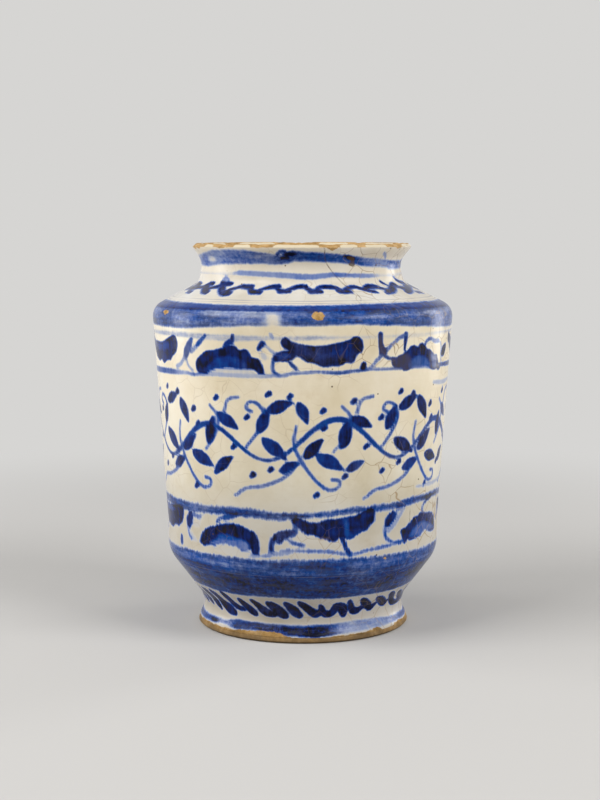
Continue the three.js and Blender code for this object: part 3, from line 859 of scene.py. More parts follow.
# The wide middle band: a plain running spray of leaves, tendrils and berries, made up for this jar
spray = {
    "repeats": 7,
    "start": -24,             # degrees
    "middle": 94,
    "swing": 8.5,             # how far the stem waves up and down
    "stem": (2.0, 0.5),       # its width and how much that varies
    "stemTone": 0.74,
    "leafTone": 0.90,
    "berryTone": 0.92,
    "strokes": [
        # strength, places in degrees from the start of a repeat and mm from the middle
        (0.60, [(3, -3, 1.4), (8, 4.5, 1.6), (10.5, 11, 1.6), (8.5, 16, 1.6), (5, 17.2, 1.5),
                (3.4, 14.6, 1.5), (5.4, 13, 1.7)]),
        (0.58, [(21, 7, 1.4), (20, -1, 1.6), (23, -9, 1.7), (28, -17, 1.7), (33, -21.5, 1.6),
                (37, -20.6, 1.5), (37.4, -17.6, 1.5), (34.6, -17, 1.7)]),
        (0.52, [(22.6, -9, 1.4), (17, -16, 1.7), (9, -20, 1.7), (2, -21.4, 1.6), (-3, -25, 1.6)]),
        (0.50, [(36, -4, 1.4), (41, 3, 1.6), (42.4, 11, 1.6), (39, 16, 1.5)]),
        (0.56, [(45, 13, 1.5), (47, 18.6, 1.5), (51.5, 20, 1.6)]),
    ],
    "leaves": [
        # middle of the leaf, length, width, lean in degrees from level
        (8.6, 9.2, 12.0, 5.8, 62), (15.4, 15.8, 13.0, 6.0, 18), (14.2, -2.6, 14.0, 6.2, -38),
        (24.6, 12.6, 12.0, 5.8, -64), (27.4, -1.8, 13.0, 6.0, 36), (34.6, -9.4, 13.6, 6.2, -22),
        (19.6, -11.6, 11.0, 5.2, 24), (39.6, 4.8, 13.0, 6.0, 70), (46.2, 9.6, 11.4, 5.4, -30),
        (44.6, -9.8, 11.0, 5.0, 30),
    ],
    "berries": [(3.2, 10.2), (11.6, 21.4), (19.4, 20.4), (31.4, 6.4), (30.6, 13.6), (42.2, 17.8),
                (12.4, -11.2), (5, -14.6), (40.2, -14.8), (29.4, -22.6), (48.8, -3.2)],
}


def leafShape(turn, height, length, width, lean):
    # a pointed brush leaf: its outline in degrees and mm
    slope = math.radians(lean)
    outline = [(-0.5, 0), (-0.32, 0.30), (-0.05, 0.48), (0.22, 0.36), (0.5, 0.02), (0.24, -0.26),
               (-0.04, -0.46), (-0.34, -0.36)]
    shape = []
    for share, side in outline:
        x = share * length * math.cos(slope) - side * width * math.sin(slope)
        z = share * length * math.sin(slope) + side * width * math.cos(slope)
        shape.append((turn + x / paint["mmPerDegree"], height + z))
    return shape


def paintSpray(coat, chance):
    period = 360 / spray["repeats"]
    for turn in np.arange(-180, 180, 2):
        # the stem waves right round the jar
        ends = []
        for place in (turn, turn + 1, turn + 2.4):
            wave = math.sin(2 * math.pi * place / period) + 0.22 * math.sin(6 * math.pi * place / 360 + 1)
            width = spray["stem"][0] + spray["stem"][1] * math.sin(place / 9)
            ends.append((place, spray["middle"] + spray["swing"] * wave, width))
        coat.stroke(ends, spray["stemTone"])
    for count in range(spray["repeats"]):
        # each repeat slips a little, and so does each of its strokes, leaves and berries
        start = count * period + spray["start"] + chance.uniform(-1.2, 1.2)
        for tone, line in spray["strokes"]:
            bend = chance.uniform(-0.8, 0.8, 2)
            coat.stroke(shifted(line, start + bend[0], spray["middle"] + bend[1]), tone)
        for t, z, length, width, lean in spray["leaves"]:
            shake = chance.uniform(-1, 1, 4)
            grown = 1 + 0.12 * shake[2]
            outline = leafShape(start + t + shake[0], spray["middle"] + z + shake[1],
                                length * grown, width * grown, lean + 9 * shake[3])
            coat.leaf(outline, spray["leafTone"] + 0.08 * shake[3])
        for t, z in spray["berries"]:
            shake = chance.uniform(-1, 1, 3)
            dab = [(-0.5, -0.4, 2.0), (0.4, 0.5, 2.6 + 0.4 * shake[2])]
            berry = shifted(dab, start + t + shake[0], spray["middle"] + z + shake[1])
            coat.stroke(berry, spray["berryTone"])


# Wear: wiped and bare spots, lost glaze at the lip and foot, and cracks, as outlines and lines

# where a band was wiped thin: blur of the edge in mm, and outline
wipedPlaces = [
    (1.6, [(-62, 172), (-61, 174), (-56, 174.4), (-54, 172.6), (-58, 171.6)]),
    (2.6, [(-13, 150.4), (-10.4, 151), (-8.2, 150), (-7.8, 147), (-9, 143.8), (-12.2, 143.8),
           (-13.4, 147)]),
]
bareSpots = [
    [(3.2, 149.2), (4, 150.9), (5.8, 151.6), (7.4, 150.8), (8, 149.3), (7, 147.9), (5, 147.6)],
    [(-66.4, 149.4), (-64, 150.4), (-61, 150), (-60.4, 149), (-63, 148.5)],
    [(34.2, 39.9), (35, 40.6), (35.9, 40), (35.2, 39.3)],
    [(118, 96), (119.4, 98), (121.6, 97), (121, 95)],
    [(205, 148), (208, 150), (211.6, 149), (210, 147.4)],
    [(162, 40), (163.6, 41.4), (165, 40.2), (164, 39)],
]
# where the cobalt lay too thick and fired a dull purple
purplePlaces = [
    [(27.6, 140.4), (30.8, 140.4), (33, 134.6), (32.2, 131.2), (28.8, 131.4)],
    [(33.8, 131), (38, 132.4), (43, 131), (45.4, 124.2), (38, 123.4), (33.6, 126)],
    [(55.4, 133), (60, 132.4), (66.4, 128), (66, 122.2), (60, 122.4), (56.8, 125)],
    [(-50.6, 127.6), (-50.8, 133), (-46.8, 137.8), (-43.6, 134.4), (-46.4, 128.2)],
    [(110, 134), (122, 136), (128, 130), (120, 123), (111, 126)],
    [(192, 136), (204, 137), (208, 127), (196, 124)],
]
# lost glaze at the lip: from, to, how far down
lipLosses = [(-90, -61, 2.0), (-50, -38, 1.0), (-26, -20, 1.3), (-18, -15.4, 0.9), (10.5, 18.6, 2.2),
             (30.2, 32.4, 1.0), (50, 63, 1.4), (88, 112, 1.8), (140, 150, 1.2), (171, 196, 2.2),
             (222, 231, 1.2), (246, 258, 1.8)]
# where the glaze ends above the foot: angle and height
footEdge = [(-80, 3.7), (-60, 4.0), (-42, 3.9), (-33, 4.5), (-27, 5.0), (-20, 5.5), (-15, 5.3),
            (-11, 4.4), (-8, 3.4), (0, 3.0), (4, 2.5), (9, 2.5), (13, 3.0), (17, 3.5), (23, 3.2),
            (30, 3.7), (40, 3.9), (41.5, 4.7), (45.5, 4.6), (47, 3.2), (54, 2.7), (58, 3.0), (60, 4.2),
            (68, 4.2), (80, 3.8), (100, 4.4), (112, 3.0), (130, 3.8), (152, 5.2), (160, 3.8), (190, 3.4),
            (214, 4.6), (228, 3.6), (250, 4.3), (268, 3.2)]
cracks = [
    [(11, 178.6, 0.5), (13, 173, 0.42), (17, 168, 0.42), (21, 164, 0.40), (25, 160, 0.42),
     (26, 156.5, 0.36), (24.4, 155, 0.2)],
    [(36, 93, 0.5), (38, 91, 0.4), (40, 87.4, 0.3)],
    [(49, 61.6, 0.4), (48.4, 57, 0.4), (49, 53.6, 0.2)],
    [(-72, 178, 0.3), (-70, 172, 0.3), (-71, 166, 0.2)],
    [(196, 178.5, 0.5), (193, 170, 0.42), (189, 163, 0.4), (190, 151, 0.36), (186, 138, 0.3),
     (183, 122, 0.2)],
    [(128, 4.5, 0.4), (130, 14, 0.36), (127, 24, 0.2)],
    # two chips on the neck that burnt brown
    [(25.6, 174.3, 1.0), (28.4, 173.4, 1.9), (29.4, 172.6, 1.4)],
    [(27.8, 171.1, 1.4), (30, 170.9, 1.7)],
]


def paintJar(turns, heights, radii):
    # every coat of the decoration and the wear, for vertices at these angles, heights and radii
    chance = np.random.default_rng(paint["seed"])
    bandCoat = Coat(turns, heights, radii)
    strokeCoat = Coat(turns, heights, radii)
    for middles, widths, tones in bands.values():
        bandCoat.band(middles, widths, tones)
    for middles, widths, tones in brushLines.values():
        strokeCoat.band(middles, widths, tones)
    for middles, widths, tones in bandRuns:
        bandCoat.band(middles, widths, tones, run=True)
    for blur, outline in wipedPlaces:
        bandCoat.thin(outline, paint["wiped"], blur)
    for motifs, shift, squeeze in friezes:
        paintMotifs(strokeCoat, motifs, shift, squeeze, chance)
    tone, wider = paint["chain"]
    for line in chain:
        strokeCoat.stroke(shifted(line, 0, 0, width=wider), tone)
    strokeCoat.stroke(chainPale, paint["chainPale"])
    for start in np.arange(*chainBack):
        slip = chance.uniform(-0.5, 0.5)
        for line in chainStep:
            strokeCoat.stroke(shifted(line, start + slip, 0.4 * slip), paint["chainBack"])
    tone, wider = paint["rope"]
    for line in rope:
        strokeCoat.stroke(shifted(line, 0, 0, width=wider), tone)
    tone, wider = paint["ropeBack"]
    for start in np.arange(*ropeBack):
        shake = chance.uniform(-1, 1, 3)
        stretch, width = 1 + 0.1 * shake[1], wider + 0.12 * shake[1]
        line = shifted(ropeStep, start + shake[0], 0.3 * shake[2], stretch, width)
        strokeCoat.stroke(line, tone + 0.03 * shake[2])
    for tone, line in marks:
        strokeCoat.stroke(line, tone)
    paintSpray(strokeCoat, chance)
    bareCoat = Coat(turns, heights, radii)
    for outline in bareSpots:
        bareCoat.leaf(outline, 1)
    for start, end, drop in lipLosses:
        steps = np.linspace(start, end, max(4, int((end - start) / 3)))
        edge = []
        for turn, share in zip(steps, np.linspace(0, 1, len(steps))):
            fall = drop * math.sin(math.pi * share) * (0.65 + 0.35 * math.sin(turn * 0.9))
            edge.append((turn, paint["glazeTop"] - fall))
        bareCoat.leaf([*edge, (end, jar["rim"] + 1), (start, jar["rim"] + 1)], 1)
    edgeTurns, edgeHeights = zip(*footEdge)
    glazeEnd = np.interp(turns, edgeTurns, edgeHeights, period=360) - 0.35
    bareCoat.depth = np.maximum(bareCoat.depth, glazeEnd - heights)
    crackCoat = Coat(turns, heights, radii, leastWidth=0)
    for line in cracks:
        crackCoat.stroke(line, 1)
    purpleCoat = Coat(turns, heights, radii)
    for outline in purplePlaces:
        purpleCoat.leaf(outline, 1)
    return {
        "band": bandCoat,
        "stroke": strokeCoat,
        "bare": bareCoat,
        "crack": crackCoat,
        "purple": purpleCoat,
    }


# Materials

glazeLook = {
    # tin glaze over buff clay, fired glossy: a slightly uneven milky white that has gone cream
    "creams": [(0.32, "#d8caac"), (0.5, "#e4d8bf"), (0.68, "#ece4d2")],
    "stain": "#c9b48d",
    # the white's tint by height (1 is the rim): painted shade and dirt low down, drifted cobalt on the
    # shoulder
    "tintsAndShade": [(0.03, "#d5d8e4"), (0.12, "#cfd2df"), (0.20, "#d5d8e2"), (0.34, "#dde0e7"),
              (0.44, "#f2f4f6"), (0.60, "#ffffff"), (0.82, "#ffffff"), (0.87, "#eaf0ff"),
              (0.93, "#f5f7ff")],
    # cobalt painted on the raw glaze: strength of the brush load, and the blue it fires to
    "blues": [(0.0, "#d8d0c0"), (0.15, "#b2b6c2"), (0.32, "#8593b8"), (0.50, "#4d63a0"),
              (0.64, "#264a8b"), (0.77, "#0b2f79"), (0.88, "#061c5a"), (1.0, "#040822")],
    # how the load varies: noise (scale, detail, roughness, stretch), then weakest and strongest
    "loads": {
        "streaks": ((1, 4, 0.65, (26, 26, 330)), (0.72, 1.22)),
        "blotches": ((85, 6, 0.72, (0.7, 0.7, 1.6)), (0.70, 1.24)),
        "speckle": ((480, 5, 0.75), (0.66, 1.18)),
        "runs": ((1, 3, 0.6, (640, 640, 90)), (0.90, 1.08)),
        "brush": ((230, 4, 0.6), (0.88, 1.08)),
    },
    # coat: how far its edges feather, drift and blur in mm, and the loads that vary it
    "coats": {
        "band": (2.6, 1.0, 0.78, ("streaks", "blotches", "speckle", "runs")),
        "stroke": (2.3, 0.4, 0.50, ("brush", "runs")),
    },
    # by height: how far the glaze ran as it melted, and how much dirt lies in the bands
    "running": [(0.13, 0.32), (0.22, 1.0), (0.36, 1.0), (0.42, 0.36)],
    "dirt": [(0.12, 0.70), (0.26, 0.62), (0.76, 1.0), (0.855, 1.0), (0.92, 0.26)],
    "overfired": "#221a1a",
    "purple": "#4b4757",
    "grime": "#41434f",
    # height, half the width in mm, strength: two above the shoulder, one scored through the belly band
    "hairLines": [(155.5, 0.26, 0.7), (154.6, 0.22, 0.7), (33.5, 0.30, 0.28)],
    "hairLine": "#85879b",
    "crazing": "#a08765",
    "crack": "#4c3722",
    "crazeCell": 9.5,         # mm across
    "crazeWidth": 0.22,
    "gloss": (0.16, 0.25),    # roughness from clean to dulled
    # bare earthenware, with dark pores, and painted shade low down
    "clays": [(0.30, "#8a6936"), (0.5, "#b48e57"), (0.68, "#ceac7a")],
    "footShade": "#5b4729",
    "pore": "#6a5130",
    # the thinner, browner glaze inside
    "insideCreams": [(0.32, "#c9b995"), (0.5, "#dccfb4"), (0.68, "#e6dcc8")],
    "residue": "#8d6f45",
    "insideCrazing": "#7d6240",
    "insideCrazeCell": 7.0,
    "insideCrazeWidth": 0.26,
    "insideGloss": (0.24, 0.5),
}


def startMaterial(name):
    material = bpy.data.materials.new(name)
    material.use_nodes = True
    tree = material.node_tree
    tree.nodes.clear()
    shader = addNode(tree, "ShaderNodeBsdfPrincipled")
    addNode(tree, "ShaderNodeOutputMaterial", {}, {"Surface": shader.outputs[0]})
    space = addNode(tree, "ShaderNodeTexCoord").outputs["Object"]
    return material, tree, shader, space


def noiseAt(tree, space, scale, detail=3, roughness=0.5, stretch=(1, 1, 1)):
    # soft noise with features of 1000 / scale mm, or 1000 / stretch where the scale is 1
    placed = addNode(tree, "ShaderNodeMapping", {}, {"Vector": space, "Scale": stretch})
    noise = addNode(tree, "ShaderNodeTexNoise", {}, {
        "Vector": placed.outputs[0], "Scale": scale, "Detail": detail, "Roughness": roughness})
    return noise.outputs["Fac"]


def patches(tree, space, noise, reach, strengths=(0, 1), kind="SMOOTHSTEP"):
    # noise that rises from the first strength to the second over its own values in reach
    return addNode(tree, "ShaderNodeMapRange", {"interpolation_type": kind}, {
        "Value": noiseAt(tree, space, *noise), "From Min": reach[0], "From Max": reach[1],
        "To Min": strengths[0], "To Max": strengths[1]}).outputs[0]


def setRamp(node, stops):
    # stops: place, and a colour or a grey level
    ramp = node.color_ramp
    while len(ramp.elements) < len(stops):
        ramp.elements.new(0.5)
    for element, (place, colour) in zip(ramp.elements, stops):
        element.position = place
        element.color = hexColour(colour) if isinstance(colour, str) else (colour, colour, colour, 1)


def crazeLines(tree, space, cell, width):
    # fine cracks in the glaze: the edges of warped cells, in patches
    warp = addNode(tree, "ShaderNodeTexNoise", {}, {"Vector": space, "Scale": 70, "Detail": 2})
    warped = addNode(tree, "ShaderNodeVectorMath", {"operation": "MULTIPLY_ADD"}, {
        0: warp.outputs["Color"], 1: (0.007, 0.007, 0.007), 2: space})
    cells = addNode(tree, "ShaderNodeTexVoronoi", {"feature": "DISTANCE_TO_EDGE"}, {
        "Vector": warped.outputs[0], "Scale": 1000 / cell})
    line = addNode(tree, "ShaderNodeMapRange", {"interpolation_type": "SMOOTHSTEP"}, {
        "Value": cells.outputs["Distance"], "From Min": 0.0, "From Max": width / cell,
        "To Min": 1.0, "To Max": 0.0})
    return addNode(tree, "ShaderNodeMath", {"operation": "MULTIPLY"}, {
        0: line.outputs[0], 1: patches(tree, space, (32, 3), (0.42, 0.66))}).outputs[0]


def bareClay(tree, space):
    # buff clay, blotched, with dark pores, and darkened towards the foot by painted shade
    tone = addNode(tree, "ShaderNodeValToRGB", {}, {"Fac": noiseAt(tree, space, 240, 5, 0.7)})
    setRamp(tone, glazeLook["clays"])
    pitted = addNode(tree, "ShaderNodeMix", {"data_type": "RGBA"}, {
        0: patches(tree, space, (900, 3, 0.7), (0.58, 0.74), (0, 0.6)),
        6: tone.outputs[0], 7: hexColour(glazeLook["pore"])})
    # the painted shade fades out over the lowest 6 mm, along a ragged edge
    height = addNode(tree, "ShaderNodeSeparateXYZ", {}, {0: space})
    patchy = addNode(tree, "ShaderNodeMath", {"operation": "MULTIPLY_ADD"}, {
        0: noiseAt(tree, space, 95, 4, 0.65), 1: -9 * mm, 2: height.outputs[2]})
    low = addNode(tree, "ShaderNodeMapRange", {"interpolation_type": "SMOOTHSTEP"}, {
        "Value": patchy.outputs[0], "From Min": -4.6 * mm, "From Max": 1.6 * mm,
        "To Min": 0.92, "To Max": 0.0})
    return addNode(tree, "ShaderNodeMix", {"data_type": "RGBA"}, {
        0: low.outputs[0], 6: pitted.outputs[2], 7: hexColour(glazeLook["footShade"])}).outputs[2]


def hairLine(tree, space, height, width, strength):
    # a fine broken line right round the jar: its height and half its width in mm
    split = addNode(tree, "ShaderNodeSeparateXYZ", {}, {0: space})
    waver = addNode(tree, "ShaderNodeMath", {"operation": "MULTIPLY_ADD"}, {
        0: noiseAt(tree, space, 28, 2), 1: 0.8 * mm, 2: split.outputs[2]})
    gap = addNode(tree, "ShaderNodeMath", {"operation": "SUBTRACT"}, {
        0: waver.outputs[0], 1: (height + 0.4) * mm})
    away = addNode(tree, "ShaderNodeMath", {"operation": "ABSOLUTE"}, {0: gap.outputs[0]})
    line = addNode(tree, "ShaderNodeMapRange", {"interpolation_type": "SMOOTHSTEP"}, {
        "Value": away.outputs[0], "From Min": 0.0, "From Max": width * mm,
        "To Min": strength, "To Max": 0.0})
    return addNode(tree, "ShaderNodeMath", {"operation": "MULTIPLY"}, {
        0: line.outputs[0], 1: patches(tree, space, (45, 4), (0.36, 0.60), (0.2, 1))}).outputs[0]


def paintedGlaze():
    # tin glaze with cobalt brushwork: glossy, milky, the blue sunk into it with furry edges
    material, tree, shader, space = startMaterial("paintedTinGlaze")

    # the white ground
    ground = addNode(tree, "ShaderNodeValToRGB", {}, {"Fac": noiseAt(tree, space, 26, 5, 0.6)})
    setRamp(ground, glazeLook["creams"])
    stained = addNode(tree, "ShaderNodeMix", {"data_type": "RGBA"}, {
        0: patches(tree, space, (75, 6, 0.68), (0.54, 0.80), (0, 0.42)),
        6: ground.outputs[0], 7: hexColour(glazeLook["stain"])})
    place = addNode(tree, "ShaderNodeSeparateXYZ", {}, {0: space})
    rise = addNode(tree, "ShaderNodeMath", {"operation": "MULTIPLY"}, {
        0: place.outputs[2], 1: 1 / (jar["rim"] * mm)})
    byHeight = {}
    for name in ("tintsAndShade", "running", "dirt"):
        byHeight[name] = addNode(tree, "ShaderNodeValToRGB", {}, {"Fac": rise.outputs[0]})
        setRamp(byHeight[name], glazeLook[name])
    # the white, darkened low down by painted shade and dirt, and tinted by drifted cobalt on the shoulder
    whites = addNode(tree, "ShaderNodeMix", {"data_type": "RGBA", "blend_type": "MULTIPLY"}, {
        0: 1.0, 6: stained.outputs[2], 7: byHeight["tintsAndShade"].outputs[0]})

    # brush edges: feathered downwards, where the glaze ran as it melted, most of all low on the wall
    feather = noiseAt(tree, space, 1, 3, 0.6, (900, 900, 160))
    drift = noiseAt(tree, space, 110, 2, 0.5)
    ragged = noiseAt(tree, space, 360, 3, 0.6)
    running = byHeight["running"].outputs[0]
    centred = addNode(tree, "ShaderNodeMath", {"operation": "SUBTRACT"}, {0: feather, 1: 0.5})
    runFeather = addNode(tree, "ShaderNodeMath", {"operation": "MULTIPLY"}, {
        0: centred.outputs[0], 1: running})
    loads = {}
    for name, (noise, strengths) in glazeLook["loads"].items():
        loads[name] = patches(tree, space, noise, (0.30, 0.70), strengths, "LINEAR")
    masks = {}
    inks = {}
    for coat, (feathering, drifting, soft, loadNames) in glazeLook["coats"].items():
        depth = addNode(tree, "ShaderNodeAttribute", {"attribute_name": coat + "Depth"}).outputs["Fac"]
        for noise, amount in ((runFeather.outputs[0], feathering), (ragged, 0.4), (drift, drifting)):
            depth = addNode(tree, "ShaderNodeMath", {"operation": "MULTIPLY_ADD"}, {
                0: noise, 1: amount, 2: depth}).outputs[0]
        # the more an edge ran, the softer it is
        ends = []
        for side in (-1, 1):
            ends.append(addNode(tree, "ShaderNodeMath", {"operation": "MULTIPLY_ADD"}, {
                0: running, 1: side * 0.35, 2: drifting / 2 + 0.20 + side * soft}).outputs[0])
        masks[coat] = addNode(tree, "ShaderNodeMapRange", {"interpolation_type": "SMOOTHSTEP"}, {
            "Value": depth, "From Min": ends[0], "From Max": ends[1]}).outputs[0]
        wash = addNode(tree, "ShaderNodeAttribute", {"attribute_name": coat + "Tone"}).outputs["Fac"]
        for name in loadNames:
            wash = addNode(tree, "ShaderNodeMath", {"operation": "MULTIPLY"}, {
                0: wash, 1: loads[name]}).outputs[0]
        inks[coat] = addNode(tree, "ShaderNodeMath", {"operation": "MULTIPLY", "use_clamp": True}, {
            0: wash, 1: masks[coat]}).outputs[0]
    # where both lie the ink is deeper than the stronger of the two
    stronger = addNode(tree, "ShaderNodeMath", {"operation": "MAXIMUM"}, {
        0: inks["band"], 1: inks["stroke"]})
    both = addNode(tree, "ShaderNodeMath", {"operation": "MULTIPLY"}, {
        0: inks["band"], 1: inks["stroke"]})
    ink = addNode(tree, "ShaderNodeMath", {"operation": "MULTIPLY_ADD", "use_clamp": True}, {
        0: both.outputs[0], 1: 0.35, 2: stronger.outputs[0]}).outputs[0]

    # the blue, and over it what burnt nearly black, what fired purple, and the dirt in the bands
    blue = addNode(tree, "ShaderNodeValToRGB", {}, {"Fac": ink})
    setRamp(blue, glazeLook["blues"])
    fired = addNode(tree, "ShaderNodeHueSaturation", {}, {
        "Saturation": patches(tree, space, (40, 4, 0.6), (0.30, 0.70), (0.84, 1.22), "LINEAR"),
        "Color": blue.outputs[0]})
    heavy = addNode(tree, "ShaderNodeMapRange", {"interpolation_type": "SMOOTHSTEP"}, {
        "Value": ink, "From Min": 0.84, "From Max": 1.0})
    burnt = addNode(tree, "ShaderNodeMath", {"operation": "MULTIPLY"}, {
        0: patches(tree, space, (130, 4, 0.6), (0.46, 0.66), (0, 0.80)), 1: heavy.outputs[0]})
    purpleDepth = addNode(tree, "ShaderNodeAttribute", {"attribute_name": "purpleDepth"})
    purpleEdge = addNode(tree, "ShaderNodeMath", {"operation": "MULTIPLY_ADD"}, {
        0: drift, 1: 3.0, 2: purpleDepth.outputs["Fac"]})
    purplePatch = addNode(tree, "ShaderNodeMapRange", {"interpolation_type": "SMOOTHSTEP"}, {
        "Value": purpleEdge.outputs[0], "From Min": 0.5, "From Max": 3.0, "To Max": 0.66})
    mottle = addNode(tree, "ShaderNodeMath", {"operation": "MULTIPLY"}, {
        0: patches(tree, space, (170, 6, 0.72, (0.5, 0.5, 2.4)), (0.38, 0.66)),
        1: byHeight["dirt"].outputs[0]})
    overlays = [
        (burnt, masks["stroke"], "overfired"),
        (purplePatch, inks["stroke"], "purple"),
        (mottle, inks["band"], "grime"),
    ]
    colour = fired.outputs[0]
    for share, within, name in overlays:
        amount = addNode(tree, "ShaderNodeMath", {"operation": "MULTIPLY"}, {
            0: share.outputs[0], 1: within})
        colour = addNode(tree, "ShaderNodeMix", {"data_type": "RGBA"}, {
            0: amount.outputs[0], 6: colour, 7: hexColour(glazeLook[name])}).outputs[2]
    inkShare = addNode(tree, "ShaderNodeMapRange", {}, {"Value": ink, "From Min": 0.0, "From Max": 0.2})
    colour = addNode(tree, "ShaderNodeMix", {"data_type": "RGBA"}, {
        0: inkShare.outputs[0], 6: whites.outputs[2], 7: colour}).outputs[2]

    # age: fine lines, crazing that the blue half hides, cracks and pinholes
    lineShare = 0.0
    for height, width, strength in glazeLook["hairLines"]:
        lineShare = addNode(tree, "ShaderNodeMath", {"operation": "MAXIMUM"}, {
            0: hairLine(tree, space, height, width, strength), 1: lineShare}).outputs[0]
    # there is more of it on the right
    crazeMore = addNode(tree, "ShaderNodeMapRange", {}, {
        "Value": place.outputs[0], "From Min": -0.01, "From Max": 0.055, "To Min": 0.4, "To Max": 1.9})
    craze = addNode(tree, "ShaderNodeMath", {"operation": "MULTIPLY", "use_clamp": True}, {
        0: crazeLines(tree, space, glazeLook["crazeCell"], glazeLook["crazeWidth"]),
        1: crazeMore.outputs[0]}).outputs[0]
    hidden = addNode(tree, "ShaderNodeMapRange", {}, {
        "Value": ink, "From Min": 0.1, "From Max": 0.7, "To Min": 0.78, "To Max": 0.16})
    crazeShare = addNode(tree, "ShaderNodeMath", {"operation": "MULTIPLY"}, {
        0: craze, 1: hidden.outputs[0]})
    crackDepth = addNode(tree, "ShaderNodeAttribute", {"attribute_name": "crackDepth"})
    crack = addNode(tree, "ShaderNodeMapRange", {"interpolation_type": "SMOOTHSTEP"}, {
        "Value": crackDepth.outputs["Fac"], "From Min": -0.30, "From Max": 0.2, "To Max": 0.80})
    holes = addNode(tree, "ShaderNodeTexVoronoi", {}, {"Vector": space, "Scale": 150})
    hole = addNode(tree, "ShaderNodeMapRange", {"interpolation_type": "SMOOTHSTEP"}, {
        "Value": holes.outputs["Distance"], "From Min": 0.03, "From Max": 0.085,
        "To Min": 1.0, "To Max": 0.0})
    # one cell in seven has a pinhole
    chosen = addNode(tree, "ShaderNodeSeparateColor", {}, {0: holes.outputs["Color"]})
    rare = addNode(tree, "ShaderNodeMath", {"operation": "GREATER_THAN"}, {0: chosen.outputs[0], 1: 0.86})
    holeShare = addNode(tree, "ShaderNodeMath", {"operation": "MULTIPLY"}, {
        0: hole.outputs[0], 1: rare.outputs[0]})
    flaws = [
        (lineShare, "hairLine"),
        (crazeShare.outputs[0], "crazing"),
        (crack.outputs[0], "crack"),
        (holeShare.outputs[0], "crack"),
    ]
    for share, name in flaws:
        colour = addNode(tree, "ShaderNodeMix", {"data_type": "RGBA"}, {
            0: share, 6: colour, 7: hexColour(glazeLook[name])}).outputs[2]

    # bare clay where the glaze has gone
    bareDepth = addNode(tree, "ShaderNodeAttribute", {"attribute_name": "bareDepth"})
    bareEdge = addNode(tree, "ShaderNodeMath", {"operation": "MULTIPLY_ADD"}, {
        0: noiseAt(tree, space, 330, 4, 0.65), 1: 2.6, 2: bareDepth.outputs["Fac"]})
    bare = addNode(tree, "ShaderNodeMapRange", {"interpolation_type": "SMOOTHSTEP"}, {
        "Value": bareEdge.outputs[0], "From Min": 1.15, "From Max": 1.45})
    worn = addNode(tree, "ShaderNodeMix", {"data_type": "RGBA"}, {
        0: bare.outputs[0], 6: colour, 7: bareClay(tree, space)})
    tree.links.new(worn.outputs[2], shader.inputs["Base Color"])

    # gloss, dulled in patches, dead on bare clay
    dull = patches(tree, space, (60, 5, 0.65), (0.35, 0.7), glazeLook["gloss"], "LINEAR")
    rougher = addNode(tree, "ShaderNodeMix", {"data_type": "FLOAT"}, {0: bare.outputs[0], 2: dull, 3: 0.85})
    tree.links.new(rougher.outputs[0], shader.inputs["Roughness"])
    shader.inputs["IOR"].default_value = 1.45
    shader.inputs["Specular IOR Level"].default_value = 0.18

    # throwing lines, a pebbled melt, sunk cracks
    rings = noiseAt(tree, space, 1, 2, 0.5, (9, 9, 330))
    melt = noiseAt(tree, space, 170, 3, 0.5)
    lines = addNode(tree, "ShaderNodeMath", {"operation": "MAXIMUM"}, {0: craze, 1: crack.outputs[0]})
    relief = addNode(tree, "ShaderNodeMath", {"operation": "MULTIPLY_ADD"}, {0: melt, 1: 1.1, 2: rings})
    sunk = addNode(tree, "ShaderNodeMath", {"operation": "MULTIPLY_ADD"}, {
        0: lines.outputs[0], 1: -0.5, 2: relief.outputs[0]})
    bump = addNode(tree, "ShaderNodeBump", {}, {
        "Height": sunk.outputs[0], "Strength": 0.5, "Distance": 0.22 * mm})
    tree.links.new(bump.outputs[0], shader.inputs["Normal"])
    return material


def bareEarthenware():
    # buff earthenware, thrown and turned, unglazed: matt, sandy, with turning lines and dark pores
    material, tree, shader, space = startMaterial("buffEarthenware")
    # scraps of white glaze left on the lip
    remains = addNode(tree, "ShaderNodeAttribute", {"attribute_name": "remainsDepth"})
    scrapEdge = addNode(tree, "ShaderNodeMath", {"operation": "MULTIPLY_ADD"}, {
        0: noiseAt(tree, space, 160, 6, 0.7), 1: 6.0, 2: remains.outputs["Fac"]})
    scraps = addNode(tree, "ShaderNodeMapRange", {"interpolation_type": "SMOOTHSTEP"}, {
        "Value": scrapEdge.outputs[0], "From Min": 3.9, "From Max": 4.3})
    covered = addNode(tree, "ShaderNodeMix", {"data_type": "RGBA"}, {
        0: scraps.outputs[0], 6: bareClay(tree, space), 7: hexColour(glazeLook["creams"][0][1])})
    tree.links.new(covered.outputs[2], shader.inputs["Base Color"])
    rough = addNode(tree, "ShaderNodeMix", {"data_type": "FLOAT"}, {0: scraps.outputs[0], 2: 0.88, 3: 0.30})
    tree.links.new(rough.outputs[0], shader.inputs["Roughness"])
    # rings from the turning tool, by distance from the axis
    split = addNode(tree, "ShaderNodeSeparateXYZ", {}, {0: space})
    flat = addNode(tree, "ShaderNodeCombineXYZ", {}, {0: split.outputs[0], 1: split.outputs[1]})
    reach = addNode(tree, "ShaderNodeVectorMath", {"operation": "LENGTH"}, {0: flat.outputs[0]})
    turning = addNode(tree, "ShaderNodeTexNoise", {"noise_dimensions": "1D"}, {
        "W": reach.outputs["Value"], "Scale": 900, "Detail": 2})
    grain = addNode(tree, "ShaderNodeMath", {"operation": "MULTIPLY_ADD"}, {
        0: noiseAt(tree, space, 700, 4, 0.7), 1: 1.2, 2: turning.outputs["Fac"]})
    bump = addNode(tree, "ShaderNodeBump", {}, {
        "Height": grain.outputs[0], "Strength": 0.7, "Distance": 0.3 * mm})
    tree.links.new(bump.outputs[0], shader.inputs["Normal"])
    return material


